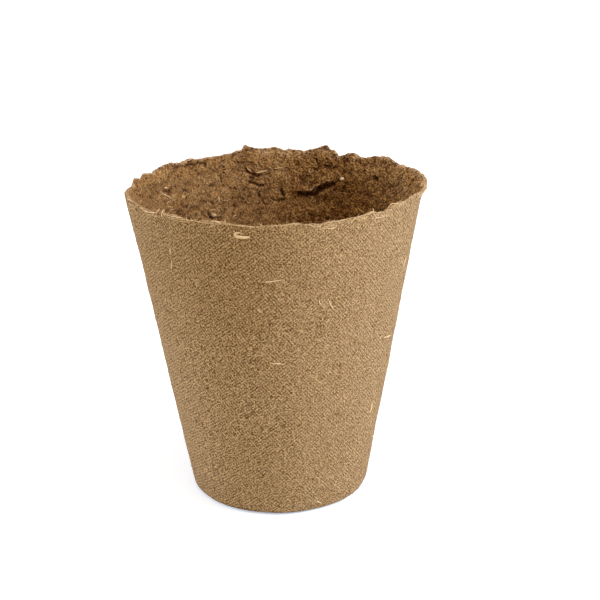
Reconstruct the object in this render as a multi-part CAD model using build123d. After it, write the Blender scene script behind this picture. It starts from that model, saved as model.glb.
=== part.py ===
from build123d import *
import math
import os

# A round peat pot: one tapered cup pressed from wet peat and wood fibre, cut into its regions,
# with the bits of wood, bark and fibre that sit in its faces.
# The origin is the middle of the standing face and +Z is up. Azimuths are in degrees,
# anticlockwise from +X seen from above, and the curled shaving is on the -Y side.
# Lengths are in millimetres.

# Cup
TOP_DIAMETER = 80.0  # outside, at the mean line of the torn rim
FOOT_DIAMETER = 48.6  # outside, where the side's cone would meet the standing face
POT_HEIGHT = 86.4  # standing face to the mean line of the torn rim
WALL = 1.6  # felt of the side, square to its face
FLOOR = 2.0  # felt of the floor
HEEL_RADIUS = 2.4  # rounding outside, between side and foot
CORNER_RADIUS = 3.0  # rounding inside, between side and floor
CORNER_LAND = 1.6  # height that the base has above its inside rounding
DRAIN_DIAMETER = 9.0  # hole in the middle of the floor

# Torn rim
DECKLE_HEIGHT = 4.0  # top of the side wall to the mean line of the tear
DECKLE_EDGE = 0.9  # felt left at the tear
TEAR_DEPTH = 1.6  # most that the tear leaves its mean line
CUT_OVERRUN = 2.0  # how far the tear's cutter passes the felt

# Fold of felt inside the back wall
FLAP_REACH = 2.2  # how far its lip stands off the wall
FLAP_HEIGHT = 3.4  # lip to the top of its root
FLAP_ROOT = 1.5  # height of the root on the wall
FLAP_LIP = 0.7  # felt of the lip

# Curled shaving
CURL_DROP = 3.0  # below the mean line of the tear
CURL_RUN = 2.6  # straight stretch
CURL_RADIUS = 0.65  # middle line of its curl
CURL_WIDTH = 0.45
CURL_THICKNESS = 0.35

# Pale grain of wood
CHIP_LENGTH = 1.4
CHIP_WIDTH = 0.9
CHIP_THICKNESS = 0.5
CHIP_ROUNDING = 0.2

# Slivers of wood
SLIVER_LENGTH = 6.0  # a long one
SLIVER_WIDTH = 0.5
SLIVER_THICKNESS = 0.25

# Fibres of the torn rim
FIBRE_LENGTH = 7.0  # a long one
FIBRE_WIDTH = 0.3
FIBRE_THICKNESS = 0.2
FIBRE_DROP = 0.9  # a lying fibre's middle below the tear

# Flecks of bark
FLECK_LENGTH = 1.2
FLECK_WIDTH = 0.8
FLECK_THICKNESS = 0.2

# Tear: azimuth, and rise from the mean line as a share of TEAR_DEPTH
TEAR_SHARES = (
    (0, 0.30), (8, 0.36), (18, 0.30), (27, 0.25), (36, 0.50), (42, 0.20), (45, 0.20),
    (49, -0.30), (55, 0.15), (59, -0.25), (62, -0.75), (64, 0.25), (66.5, 0.40), (69, 1.00),
    (73, 0.35), (77, -0.25), (83, 0.10), (91, 0.40), (96, 0.30), (99, 0.55), (102.5, 1.00),
    (104.5, 0.15), (109, -0.20), (117, -0.40), (125, -0.40), (128, -0.05), (134, -0.40),
    (139, 0.00), (146, -0.20), (151, -0.75), (155, -0.40), (159, -0.60), (164, -0.30),
    (171, -0.90), (180, -0.50), (190, -0.10), (200, 0.10), (210, 0.15), (217, 0.00),
    (221, -0.65), (225, 0.35), (231, 0.35), (237, 0.05), (245, 0.15), (250, 0.35),
    (253, 0.10), (258, -0.05), (264, -0.15), (270, 0.00), (278, 0.20), (282, 0.05),
    (287, -0.30), (290, -0.10), (298, -0.15), (304, 0.00), (309, 0.25), (312, -0.25),
    (317, -0.15), (323, 0.50), (331, 0.30), (338, 0.45), (346, 0.15), (353, 0.35),
)

# Fold: azimuth, lip's height on the side wall, and lip's reach as a share of FLAP_REACH
FLAP_SHARES = (
    (81, 0.893, 0.30),
    (77, 0.891, 0.85),
    (73, 0.892, 1.00),
    (70, 0.911, 0.90),
    (66, 0.932, 0.70),
    (63, 0.941, 0.30),
)

# Shaving and grain: azimuth, and the grain's height on the side wall
CURL_AZIMUTH = 257.2
CHIP_PLACE_SHARES = (58.5, 0.959)
CHIP_TURN = 20

# Slivers outside: azimuth, share of POT_HEIGHT, turn from level, share of SLIVER_LENGTH
OUTER_SLIVER_SHARES = (
    (270.4, 0.551, -4, 0.65),
    (269.5, 0.824, 8, 0.88),
    (293.7, 0.730, -60, 0.66),
    (288.6, 0.745, -69, 0.27),
    (227.0, 0.888, 88, 0.30),
    (226.4, 0.845, 76, 0.62),
    (263.8, 0.731, -48, 0.25),
    (295.6, 0.032, -42, 0.40),
    (233.3, 0.137, 84, 0.33),
)

# Slivers inside: azimuth, share of the side wall's height, turn from level, share of SLIVER_LENGTH
INNER_SLIVER_SHARES = (
    (146.7, 0.947, -35, 1.00),
    (145.7, 0.972, -15, 0.25),
    (101.8, 0.983, -46, 0.35),
    (117.4, 0.885, 88, 0.35),
    (120.7, 0.831, -31, 0.37),
    (96.3, 0.974, 10, 0.65),
    (88.8, 0.986, 9, 0.48),
    (46.6, 0.852, -20, 0.52),
)

# Flecks outside: azimuth, share of POT_HEIGHT, turn from level
OUTER_FLECK_SHARES = (
    (260.9, 0.152, 10),
    (221.0, 0.301, 70),
    (251.3, 0.861, -20),
    (234.7, 0.445, 35),
    (296.3, 0.906, 0),
    (318.0, 0.620, -50),
    (281.0, 0.330, 25),
)

# Fibres of the rim: azimuth, turn from level, share of FIBRE_LENGTH
LYING_FIBRE_SHARES = (
    (290.5, 0, 0.48),
    (205.0, 3, 1.00),
    (234.0, -2, 0.90),
    (249.0, 22, 0.40),
    (312.0, -6, 0.70),
    (341.0, 5, 0.80),
    (17.0, -4, 0.60),
    (51.0, 7, 0.75),
    (86.0, -3, 0.90),
    (122.0, 4, 0.65),
    (158.0, -8, 0.55),
    (182.0, 5, 0.70),
)
UPRIGHT_FIBRE_SHARES = (
    (227.2, 58, 0.42),
    (222.4, 40, 0.50),
    (238.5, 118, 0.28),
    (70.5, 75, 0.34),
    (103.5, 110, 0.36),
    (164.0, 62, 0.30),
    (330.0, 100, 0.26),
    (28.0, 65, 0.28),
)

# Pointed ends, as a share of a strip's length
SLIVER_TIP_SHARE = 0.25
FIBRE_TIP_SHARE = 0.35
FLECK_TIP_SHARE = 0.3

# Bits scattered over the stretches with no places of their own:
# count, place in the scatter's order, azimuths, and low and high shares of the height
OUTER_SPREAD_SHARES = (20, 1, (325, 575), (0.08, 0.92))
INNER_SPREAD_SHARES = (18, 1, (160, 400), (0.06, 0.94))
LOW_INNER_SPREAD_SHARES = (10, 1, (40, 160), (0.06, 0.78))
FLECK_SPREAD_SHARES = (22, 40, (332, 568), (0.05, 0.94))
INNER_FLECK_SPREAD_SHARES = (20, 70, (0, 360), (0.05, 0.70))
SPREAD_STEP_SHARES = (0.7549, 0.5698, 0.618)
SPREAD_LENGTH_SHARES = (0.3, 0.85)

# Worked out from the sizes above
top_radius = TOP_DIAMETER / 2
foot_radius = FOOT_DIAMETER / 2
drain_radius = DRAIN_DIAMETER / 2
flare = (top_radius - foot_radius) / POT_HEIGHT  # outward for each step up
lean = math.atan(flare)
wall_across = WALL / math.cos(lean)
edge_across = DECKLE_EDGE / math.cos(lean)
base_top = FLOOR + CORNER_RADIUS + CORNER_LAND
wall_top = POT_HEIGHT - DECKLE_HEIGHT
tear_top = POT_HEIGHT + TEAR_DEPTH


def outer_radius(z):
    """Radius of the outside face at a height."""
    return foot_radius + flare * z


def inner_radius(z):
    """Radius of the inside face at a height, below the deckle."""
    return outer_radius(z) - wall_across


def wall_height(share):
    """Height of a share of the side wall, from its foot to its top."""
    return base_top + share * (wall_top - base_top)


def around(radius, azimuth, z):
    """Point at a radius, azimuth and height."""
    angle = math.radians(azimuth)
    return Vector(radius * math.cos(angle), radius * math.sin(angle), z)


def tear_height(azimuth):
    """Height of the tear, straight between the places that TEAR_SHARES gives."""
    turn = azimuth % 360
    table = TEAR_SHARES + ((TEAR_SHARES[0][0] + 360, TEAR_SHARES[0][1]),)
    for (start, rise), (end, next_rise) in zip(table, table[1:]):
        if start <= turn <= end:
            along = (turn - start) / (end - start)
            return POT_HEIGHT + TEAR_DEPTH * (rise + along * (next_rise - rise))


def felt_ring(*outline):
    """Full turn of a closed outline of (radius, height) points."""
    return revolve(Plane.XZ * make_face(Polyline(*outline, close=True)), Axis.Z)


def side_wall():
    """Tapered felt between the base and the deckle."""
    return felt_ring(
        (outer_radius(base_top), base_top),
        (outer_radius(wall_top), wall_top),
        (inner_radius(wall_top), wall_top),
        (inner_radius(base_top), base_top),
    )


def base():
    """Floor and rounded heel, with the drain hole."""
    heel = (outer_radius(0), 0)
    corner = (inner_radius(FLOOR), FLOOR)
    section = make_face(
        Polyline(
            (drain_radius, 0),
            heel,
            (outer_radius(base_top), base_top),
            (inner_radius(base_top), base_top),
            corner,
            (drain_radius, FLOOR),
            close=True,
        )
    )
    section = fillet(section.vertices().sort_by_distance(heel)[0], HEEL_RADIUS)
    section = fillet(section.vertices().sort_by_distance(corner)[0], CORNER_RADIUS)
    return revolve(Plane.XZ * section, Axis.Z)


def tear_cutter():
    """All that lies above the tear: a faceted ring whose underside follows it."""
    widest = max(b[0] - a[0] for a, b in zip(TEAR_SHARES, TEAR_SHARES[1:]))
    inside = inner_radius(wall_top) - CUT_OVERRUN
    outside = (outer_radius(tear_top) + CUT_OVERRUN) / math.cos(math.radians(widest / 2))
    lid = tear_top + CUT_OVERRUN
    faces = []
    azimuths = [azimuth for azimuth, _ in TEAR_SHARES]
    for start, end in zip(azimuths, azimuths[1:] + azimuths[:1]):
        low_in, low_out = (around(r, start, tear_height(start)) for r in (inside, outside))
        next_in, next_out = (around(r, end, tear_height(end)) for r in (inside, outside))
        lid_in, lid_out = (around(r, start, lid) for r in (inside, outside))
        last_in, last_out = (around(r, end, lid) for r in (inside, outside))
        for corners in (
            (low_in, low_out, next_out),
            (low_in, next_out, next_in),
            (low_in, next_in, last_in, lid_in),
            (low_out, next_out, last_out, lid_out),
            (lid_in, lid_out, last_out, last_in),
        ):
            faces.append(Face(Wire.make_polygon(corners)))
    return Solid(Shell(faces))


def rim_deckle():
    """Thinning edge above the side wall, cut along the tear."""
    blank = felt_ring(
        (outer_radius(wall_top), wall_top),
        (outer_radius(tear_top), tear_top),
        (outer_radius(tear_top) - edge_across, tear_top),
        (inner_radius(wall_top), wall_top),
    )
    return blank - tear_cutter()


def folded_flap():
    """Lip of felt that leaves the inside face at its root and overhangs a crevice."""
    sections = []
    for azimuth, height_share, reach_share in FLAP_SHARES:
        lip = wall_height(height_share)
        root_top = lip + FLAP_HEIGHT
        root_foot = root_top - FLAP_ROOT
        edge = inner_radius(lip) - FLAP_REACH * reach_share
        corners = (
            around(inner_radius(root_top), azimuth, root_top),
            around(inner_radius(root_foot), azimuth, root_foot),
            around(edge + FLAP_LIP * reach_share, azimuth, lip),
            around(edge, azimuth, lip),
        )
        sections.append(Wire.make_polygon(corners))
    return Solid.make_loft(sections, ruled=True)


def outside_plane(azimuth, z):
    """Plane lying on the outside face: x round the pot, y up the slope, z off the face."""
    normal = around(math.cos(lean), azimuth, -math.sin(lean))
    return Plane(around(outer_radius(z), azimuth, z), x_dir=around(1, azimuth + 90, 0), z_dir=normal)


def inside_plane(azimuth, z, span):
    """Plane over the hollow inside face, clear of it along a bit of that span."""
    radius = inner_radius(z)
    lift = radius - math.sqrt(radius**2 - (span / 2) ** 2)
    normal = around(-math.cos(lean), azimuth, math.sin(lean))
    seat = around(radius, azimuth, z) + normal * lift
    return Plane(seat, x_dir=around(1, azimuth - 90, 0), z_dir=normal)


def strip(length, width, thickness, tip_share):
    """Flat strip on the XY plane with both ends pointed."""
    end = length / 2
    shoulder = end - length * tip_share
    side = width / 2
    outline = Polyline(
        (-end, 0),
        (-shoulder, -side),
        (shoulder, -side),
        (end, 0),
        (shoulder, side),
        (-shoulder, side),
        close=True,
    )
    return extrude(make_face(outline), thickness)


def sliver(length):
    """Sliver of wood of a length."""
    return strip(length, SLIVER_WIDTH, SLIVER_THICKNESS, SLIVER_TIP_SHARE)


def fibre(length):
    """Fibre of the rim of a length."""
    return strip(length, FIBRE_WIDTH, FIBRE_THICKNESS, FIBRE_TIP_SHARE)


def fleck():
    """Flake of bark."""
    return strip(FLECK_LENGTH, FLECK_WIDTH, FLECK_THICKNESS, FLECK_TIP_SHARE)


def spread(table):
    """Even scatter as (azimuth, share of the height, turn from level, share of the length)."""
    count, start, (first, last), (low, high) = table
    short, long = SPREAD_LENGTH_SHARES
    for i in range(start, start + count):
        across, up, turn = ((i * step) % 1 for step in SPREAD_STEP_SHARES)
        yield (
            first + (last - first) * across,
            low + (high - low) * up,
            180 * turn,
            short + (long - short) * turn,
        )


def turned(plane, turn, bit):
    """A bit laid on a plane and turned there from level."""
    return plane * Rot(Z=turn) * bit


def outer_slivers():
    """Slivers of wood in the outside face."""
    return [
        turned(outside_plane(azimuth, POT_HEIGHT * share), turn, sliver(SLIVER_LENGTH * length))
        for azimuth, share, turn, length in (*OUTER_SLIVER_SHARES, *spread(OUTER_SPREAD_SHARES))
    ]


def inner_slivers():
    """Slivers of wood in the inside face."""
    places = (*INNER_SLIVER_SHARES, *spread(INNER_SPREAD_SHARES), *spread(LOW_INNER_SPREAD_SHARES))
    slivers = []
    for azimuth, share, turn, length_share in places:
        length = SLIVER_LENGTH * length_share
        plane = inside_plane(azimuth, wall_height(share), math.hypot(length, SLIVER_WIDTH))
        slivers.append(turned(plane, turn, sliver(length)))
    return slivers


def bark_flecks():
    """Flakes of bark in both faces."""
    span = math.hypot(FLECK_LENGTH, FLECK_WIDTH)
    flecks = []
    for azimuth, share, turn, *_ in (*OUTER_FLECK_SHARES, *spread(FLECK_SPREAD_SHARES)):
        flecks.append(turned(outside_plane(azimuth, POT_HEIGHT * share), turn, fleck()))
    for azimuth, share, turn, _ in spread(INNER_FLECK_SPREAD_SHARES):
        flecks.append(turned(inside_plane(azimuth, wall_height(share), span), turn, fleck()))
    return flecks


def rim_fibres():
    """Fibres that lie along the tear, and fibres that stand up out of it."""
    fibres = []
    for azimuth, turn, length in LYING_FIBRE_SHARES:
        plane = outside_plane(azimuth, tear_height(azimuth) - FIBRE_DROP)
        fibres.append(turned(plane, turn, fibre(FIBRE_LENGTH * length)))
    for azimuth, turn, length in UPRIGHT_FIBRE_SHARES:
        plane = outside_plane(azimuth, tear_height(azimuth))
        fibres.append(turned(plane, turn, fibre(FIBRE_LENGTH * length)))
    return fibres


def curled_shaving():
    """Shaving that lies along the outside face and curls back over itself at one end."""
    line = Line((0, 0), (CURL_RUN, 0))
    curl = ThreePointArc((0, 0), (-CURL_RADIUS, CURL_RADIUS), (0, 2 * CURL_RADIUS))
    ribbon = extrude(trace(line + curl, CURL_WIDTH), CURL_THICKNESS)
    return outside_plane(CURL_AZIMUTH, POT_HEIGHT - CURL_DROP) * ribbon


def wood_chip():
    """Rounded grain of wood on the inside face."""
    azimuth, height_share = CHIP_PLACE_SHARES
    grain = Pos(Z=CHIP_THICKNESS / 2) * Box(CHIP_LENGTH, CHIP_WIDTH, CHIP_THICKNESS)
    grain = fillet(grain.edges(), CHIP_ROUNDING)
    plane = inside_plane(azimuth, wall_height(height_share), math.hypot(CHIP_LENGTH, CHIP_WIDTH))
    return turned(plane, CHIP_TURN, grain)


# One file for each named piece
pieces = {
    "side_wall": side_wall(),
    "base": base(),
    "rim_deckle": rim_deckle(),
    "folded_flap": folded_flap(),
    "curled_shaving": curled_shaving(),
    "wood_chip": wood_chip(),
    "rim_fibres": Compound(children=rim_fibres()),
    "outer_slivers": Compound(children=outer_slivers()),
    "inner_slivers": Compound(children=inner_slivers()),
    "bark_flecks": Compound(children=bark_flecks()),
}
os.makedirs("parts", exist_ok=True)
for name, shape in pieces.items():
    export_step(shape, os.path.join("parts", name + ".step"))
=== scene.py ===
"""Peat pot: a cup of pressed peat and wood fibre with a torn rim, dressed over its solids.

Lengths are in metres, and a size written in millimetres is multiplied by MM.
Azimuths go anticlockwise from +X seen from above, and the camera stands on the -Y side.
"""

import logging
import math
from dataclasses import dataclass
from enum import Enum
from typing import Any, ClassVar

import bpy
import numpy as np
from mathutils import Matrix, Vector, noise


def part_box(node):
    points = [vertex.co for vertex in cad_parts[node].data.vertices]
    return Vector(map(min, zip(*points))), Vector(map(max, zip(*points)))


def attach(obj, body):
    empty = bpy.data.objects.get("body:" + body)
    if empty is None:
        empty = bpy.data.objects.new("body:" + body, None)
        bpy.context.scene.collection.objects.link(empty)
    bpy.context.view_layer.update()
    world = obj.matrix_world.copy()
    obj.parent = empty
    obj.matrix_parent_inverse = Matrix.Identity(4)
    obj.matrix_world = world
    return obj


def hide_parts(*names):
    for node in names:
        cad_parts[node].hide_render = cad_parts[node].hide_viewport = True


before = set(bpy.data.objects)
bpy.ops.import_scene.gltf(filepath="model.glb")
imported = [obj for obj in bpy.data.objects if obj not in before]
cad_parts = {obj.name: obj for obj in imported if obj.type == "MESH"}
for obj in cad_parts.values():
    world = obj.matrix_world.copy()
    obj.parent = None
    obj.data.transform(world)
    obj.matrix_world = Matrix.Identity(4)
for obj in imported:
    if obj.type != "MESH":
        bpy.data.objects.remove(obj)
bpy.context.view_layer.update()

LOG = logging.getLogger("peat_pot")
BODY = "root"
MM = 0.001
TURN = 2 * math.pi

Colour = tuple[float, float, float, float]
Swells = tuple[tuple[float, float, float], ...]  # azimuth and spread in degrees, and height
Socket = bpy.types.NodeSocket
BLACK: Colour = (0.0, 0.0, 0.0, 1.0)
WHITE: Colour = (1.0, 1.0, 1.0, 1.0)

NUMBER = "NodeSocketFloat"
COUNT = "NodeSocketInt"
VECTOR = "NodeSocketVector"
MATERIAL = "NodeSocketMaterial"
OBJECT = "NodeSocketObject"


class Face(Enum):
    """Faces of the felt, by what pressed them and how they lie."""

    SIDE = 0  # against the woven screen, round the cone
    FOOT = 1  # against the woven screen, flat
    HOLLOW = 2  # open felt, round the cone
    FLOOR = 3  # open felt, flat


class Layout(Enum):
    """How a pattern lies on the felt."""

    CONE = "round the cone"
    FLAT = "on the level"


class BitForm(Enum):
    """Shapes of the bits that lie in the felt."""

    SPLINTER = "splinter"
    STRAND = "strand"
    FLAKE = "flake"
    GRAIN = "grain"


class Graph:
    """Short calls that add nodes to a tree and join them."""

    def __init__(self, tree: bpy.types.NodeTree) -> None:
        """Keep the tree that the calls work on."""
        self.tree = tree

    def feed(self, sockets: Any, key: str | int, value: Any) -> None:
        """Link or set one input.

        Args:
            sockets: A node's inputs.
            key: The input's number, or the name of the one that is in use.
            value: A socket to link, or a plain value.
        """
        if isinstance(key, int):
            socket = sockets[key]
        else:
            socket = next(s for s in sockets if s.enabled and s.name == key)
        if isinstance(value, Socket):
            self.tree.links.new(value, socket)
        else:
            socket.default_value = value

    def node(self, kind: str, feeds: dict[str | int, Any] | None = None, **settings: Any) -> Any:
        """Add a node.

        Args:
            kind: The node's type name.
            feeds: Values and sockets for its inputs.
            settings: The node's own properties.

        Returns:
            The new node.
        """
        made = self.tree.nodes.new(kind)
        for name, value in settings.items():
            setattr(made, name, value)
        for key, value in (feeds or {}).items():
            self.feed(made.inputs, key, value)
        return made

    def out(self, node: Any, name: str) -> Socket:
        """Output of that name that is in use."""
        return next(s for s in node.outputs if s.enabled and s.name == name)

    def math(self, operation: str, *values: Any) -> Socket:
        """Result of a sum on one to three values."""
        return self.node("ShaderNodeMath", dict(enumerate(values)), operation=operation).outputs[0]

    def vector(self, operation: str, *values: Any) -> Socket:
        """Vector that comes of a sum on vectors."""
        return self.node("ShaderNodeVectorMath", dict(enumerate(values)), operation=operation).outputs[0]

    def dot(self, first: Any, second: Any) -> Socket:
        """Dot product of two vectors."""
        feeds = {0: first, 1: second}
        return self.node("ShaderNodeVectorMath", feeds, operation="DOT_PRODUCT").outputs["Value"]

    def scaled(self, vector: Any, factor: Any) -> Socket:
        """Vector times a number."""
        feeds = {0: vector, "Scale": factor}
        return self.node("ShaderNodeVectorMath", feeds, operation="SCALE").outputs[0]

    def split(self, vector: Socket) -> tuple[Socket, Socket, Socket]:
        """The three parts of a vector."""
        return tuple(self.node("ShaderNodeSeparateXYZ", {0: vector}).outputs)

    def joined(self, x: Any, y: Any, z: Any = 0.0) -> Socket:
        """Vector of three parts."""
        return self.node("ShaderNodeCombineXYZ", {0: x, 1: y, 2: z}).outputs[0]

    def mix(self, share: Any, first: Any, second: Any) -> Socket:
        """Colour between two colours."""
        feeds = {"Factor": share, "A": first, "B": second}
        return self.out(self.node("ShaderNodeMix", feeds, data_type="RGBA"), "Result")

    def between(self, share: Any, first: Any, second: Any) -> Socket:
        """Number between two numbers."""
        feeds = {"Factor": share, "A": first, "B": second}
        return self.out(self.node("ShaderNodeMix", feeds, data_type="FLOAT"), "Result")

    def ramp(self, value: Any, low: Any, high: Any, start: Any = 0.0, end: Any = 1.0) -> Socket:
        """Smooth step of a value, from start at low to end at high."""
        feeds = {"Value": value, "From Min": low, "From Max": high, "To Min": start, "To Max": end}
        return self.node("ShaderNodeMapRange", feeds, interpolation_type="SMOOTHSTEP").outputs[0]

    def noise(self, vector: Any, scale: Any, detail: float = 2.0, rough: float = 0.5) -> Any:
        """Noise node, with its number first and its colour second among the outputs."""
        feeds = {"Vector": vector, "Scale": scale, "Detail": detail, "Roughness": rough}
        return self.node("ShaderNodeTexNoise", feeds)

    def drift(self, vector: Any, scale: Any, detail: float = 1.0) -> Socket:
        """Noise as a vector about zero."""
        colour = self.noise(vector, scale, detail).outputs["Color"]
        return self.vector("SUBTRACT", colour, (0.5, 0.5, 0.5))

    def strayed(self, vector: Any, scale: Any, reach: Any, detail: float = 1.0) -> Socket:
        """Vector moved by its own drift times a reach."""
        return self.vector("ADD", vector, self.scaled(self.drift(vector, scale, detail), reach))

    def stored(self, name: str, kind: str = "FLOAT") -> Socket:
        """Attribute stored on the mesh, in a tree of geometry nodes."""
        made = self.node("GeometryNodeInputNamedAttribute", {"Name": name}, data_type=kind)
        return self.out(made, "Attribute")

    def keep(self, geometry: Socket, name: str, value: Any, domain: str) -> Socket:
        """Geometry with a number stored on it, in a tree of geometry nodes."""
        feeds = {"Geometry": geometry, "Name": name, "Value": value}
        made = self.node("GeometryNodeStoreNamedAttribute", feeds, data_type="FLOAT", domain=domain)
        return made.outputs[0]

    def painted(self, name: str) -> Socket:
        """Attribute stored on the mesh, in a material."""
        return self.node("ShaderNodeAttribute", attribute_name=name).outputs["Fac"]

    def random(self, low: Any, high: Any, seed: Any, kind: str = "FLOAT") -> Socket:
        """Number or vector drawn for each point."""
        feeds = {"Min": low, "Max": high, "Seed": seed}
        return self.out(self.node("FunctionNodeRandomValue", feeds, data_type=kind), "Value")

    def body(self, thing: Socket) -> Socket:
        """Geometry of an object, in a tree of geometry nodes."""
        return self.out(self.node("GeometryNodeObjectInfo", {"Object": thing}), "Geometry")

    def equal(self, first: Any, second: Any) -> Socket:
        """Whether two whole numbers are the same, in a tree of geometry nodes."""
        feeds = {"A": first, "B": second}
        made = self.node("FunctionNodeCompare", feeds, data_type="INT", operation="EQUAL")
        return made.outputs[0]

    def turned(self, first: Socket, second: Socket, axes: str) -> Socket:
        """Turn that lays two named axes along directions, the first of them exactly."""
        feeds = {0: first, 1: second}
        settings = {"primary_axis": axes[0], "secondary_axis": axes[1]}
        return self.node("FunctionNodeAxesToRotation", feeds, **settings).outputs[0]

    def curled(self, geometry: Socket, reach: Socket, size: Socket) -> Socket:
        """Geometry bent by a drift of a reach and size, in a tree of geometry nodes."""
        place = self.node("GeometryNodeInputPosition").outputs[0]
        sway = self.drift(place, self.math("DIVIDE", 1.0, size), 2.0)
        feeds = {"Geometry": geometry, "Offset": self.scaled(sway, reach)}
        return self.node("GeometryNodeSetPosition", feeds).outputs[0]

    def finished(self, geometry: Socket, finish: Socket) -> None:
        """End a tree of geometry nodes by giving its geometry a finish."""
        done = self.node("GeometryNodeSetMaterial", {"Geometry": geometry, "Material": finish})
        self.node("NodeGroupOutput", {"Geometry": done.outputs[0]})


class Effect:
    """A shader node group, built once and placed in each finish with its own values."""

    title: ClassVar[str]
    takes: ClassVar[dict[str, str]]
    gives: ClassVar[dict[str, str]]

    def draw(self, graph: Graph, given: Any) -> dict[str, Socket]:
        """Lay the group's nodes.

        Args:
            graph: The group's tree.
            given: Outputs of the group's input node.

        Returns:
            The socket for each of the group's outputs.
        """
        raise NotImplementedError

    def place(self, graph: Graph, **values: Any) -> Any:
        """Put the group in a material.

        Args:
            graph: The material's tree.
            values: Values or sockets for the group's inputs, by name.

        Returns:
            The outputs of the placed group.
        """
        tree = bpy.data.node_groups.get(self.title) or self.built()
        made = graph.node("ShaderNodeGroup", node_tree=tree)
        for name, value in values.items():
            graph.feed(made.inputs, name, value)
        return made.outputs

    def built(self) -> bpy.types.NodeTree:
        """Make the group's tree with its named sockets."""
        tree = bpy.data.node_groups.new(self.title, "ShaderNodeTree")
        for name, kind in self.takes.items():
            tree.interface.new_socket(name, in_out="INPUT", socket_type=kind)
        for name, kind in self.gives.items():
            tree.interface.new_socket(name, in_out="OUTPUT", socket_type=kind)
        graph = Graph(tree)
        results = self.draw(graph, graph.node("NodeGroupInput").outputs)
        graph.node("NodeGroupOutput", results)
        return tree


class ConeWrap(Effect):
    """Unrolls the cone: places round the pot become places on flat cloth, in millimetres."""

    title = "Cone wrap"
    takes = {"Place": VECTOR, "Apex": NUMBER, "Lean": NUMBER, "Seam turn": NUMBER}
    gives = {"Cloth": VECTOR}

    def draw(self, graph: Graph, given: Any) -> dict[str, Socket]:
        """Lay the nodes that turn azimuth and height into a sector of cloth.

        Args:
            graph: The group's tree.
            given: Place and the apex's height in metres, and the lean and the seam's turn.

        Returns:
            The place on the cloth, and off it as the third part.
        """
        feeds = {"Vector": given["Place"], "Angle": given["Seam turn"]}
        turned = graph.node("ShaderNodeVectorRotate", feeds, rotation_type="Z_AXIS").outputs[0]
        x, y, z = graph.split(turned)
        rise = graph.math("DIVIDE", graph.math("SUBTRACT", z, given["Apex"]), MM)
        slope = graph.math("DIVIDE", rise, graph.math("COSINE", given["Lean"]))
        angle = graph.math("MULTIPLY", graph.math("ARCTAN2", y, x), graph.math("SINE", given["Lean"]))
        across = graph.math("MULTIPLY", slope, graph.math("SINE", angle))
        up = graph.math("MULTIPLY", slope, graph.math("COSINE", angle))
        squares = graph.math("ADD", graph.math("POWER", x, 2.0), graph.math("POWER", y, 2.0))
        reach = graph.math("DIVIDE", graph.math("SQRT", squares), MM)
        face = graph.math("MULTIPLY", rise, graph.math("TANGENT", given["Lean"]))
        return {"Cloth": graph.joined(across, up, graph.math("SUBTRACT", reach, face))}


class WovenMark(Effect):
    """Two crossing rows of dimples that a woven screen leaves, uneven from place to place."""

    title = "Woven mark"
    takes = {"Cloth": VECTOR} | dict.fromkeys(("Pitch", "First row", "Second row", "Jitter"), NUMBER)
    gives = {"Weave": NUMBER}

    SHIFTS = {"First row": 13.0, "Second row": 57.0}  # millimetres between the rows' patches
    PATCH = 0.22  # noise for each millimetre that makes a row fade in and out
    FADES = (0.32, 0.62)  # noise between which a row fades in
    FAINT = 0.2  # strength of a row where it is faintest
    JOG = 1.0  # noise for each millimetre that moves single dimples
    CLOG = 1.7  # noise for each millimetre that fills or deepens single dimples

    def draw(self, graph: Graph, given: Any) -> dict[str, Socket]:
        """Lay the nodes of both rows.

        Args:
            graph: The group's tree.
            given: Cloth, pitch and jitter in millimetres, and the rows' angles.

        Returns:
            The weave, from -1 in a dimple to 1 on a knuckle.
        """
        cloth = given["Cloth"]
        moved = graph.strayed(cloth, self.JOG, given["Jitter"])
        rows = []
        for name, shift in self.SHIFTS.items():
            cosine, sine = (graph.math(kind, given[name]) for kind in ("COSINE", "SINE"))
            along = graph.dot(moved, graph.joined(cosine, sine))
            turns = graph.math("MULTIPLY", graph.math("DIVIDE", along, given["Pitch"]), TURN)
            patch = graph.noise(graph.vector("ADD", cloth, (shift, shift, 0.0)), self.PATCH, 3.0)
            strength = graph.ramp(patch.outputs[0], *self.FADES, self.FAINT, 1.0)
            rows.append(graph.math("MULTIPLY", graph.math("COSINE", turns), strength))
        woven = graph.math("MULTIPLY", graph.math("ADD", *rows), 0.5)
        clog = graph.noise(cloth, self.CLOG, 2.0, 0.6).outputs[0]
        return {"Weave": graph.math("ADD", woven, graph.ramp(clog, 0.25, 0.75, -0.5, 0.5))}


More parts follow.
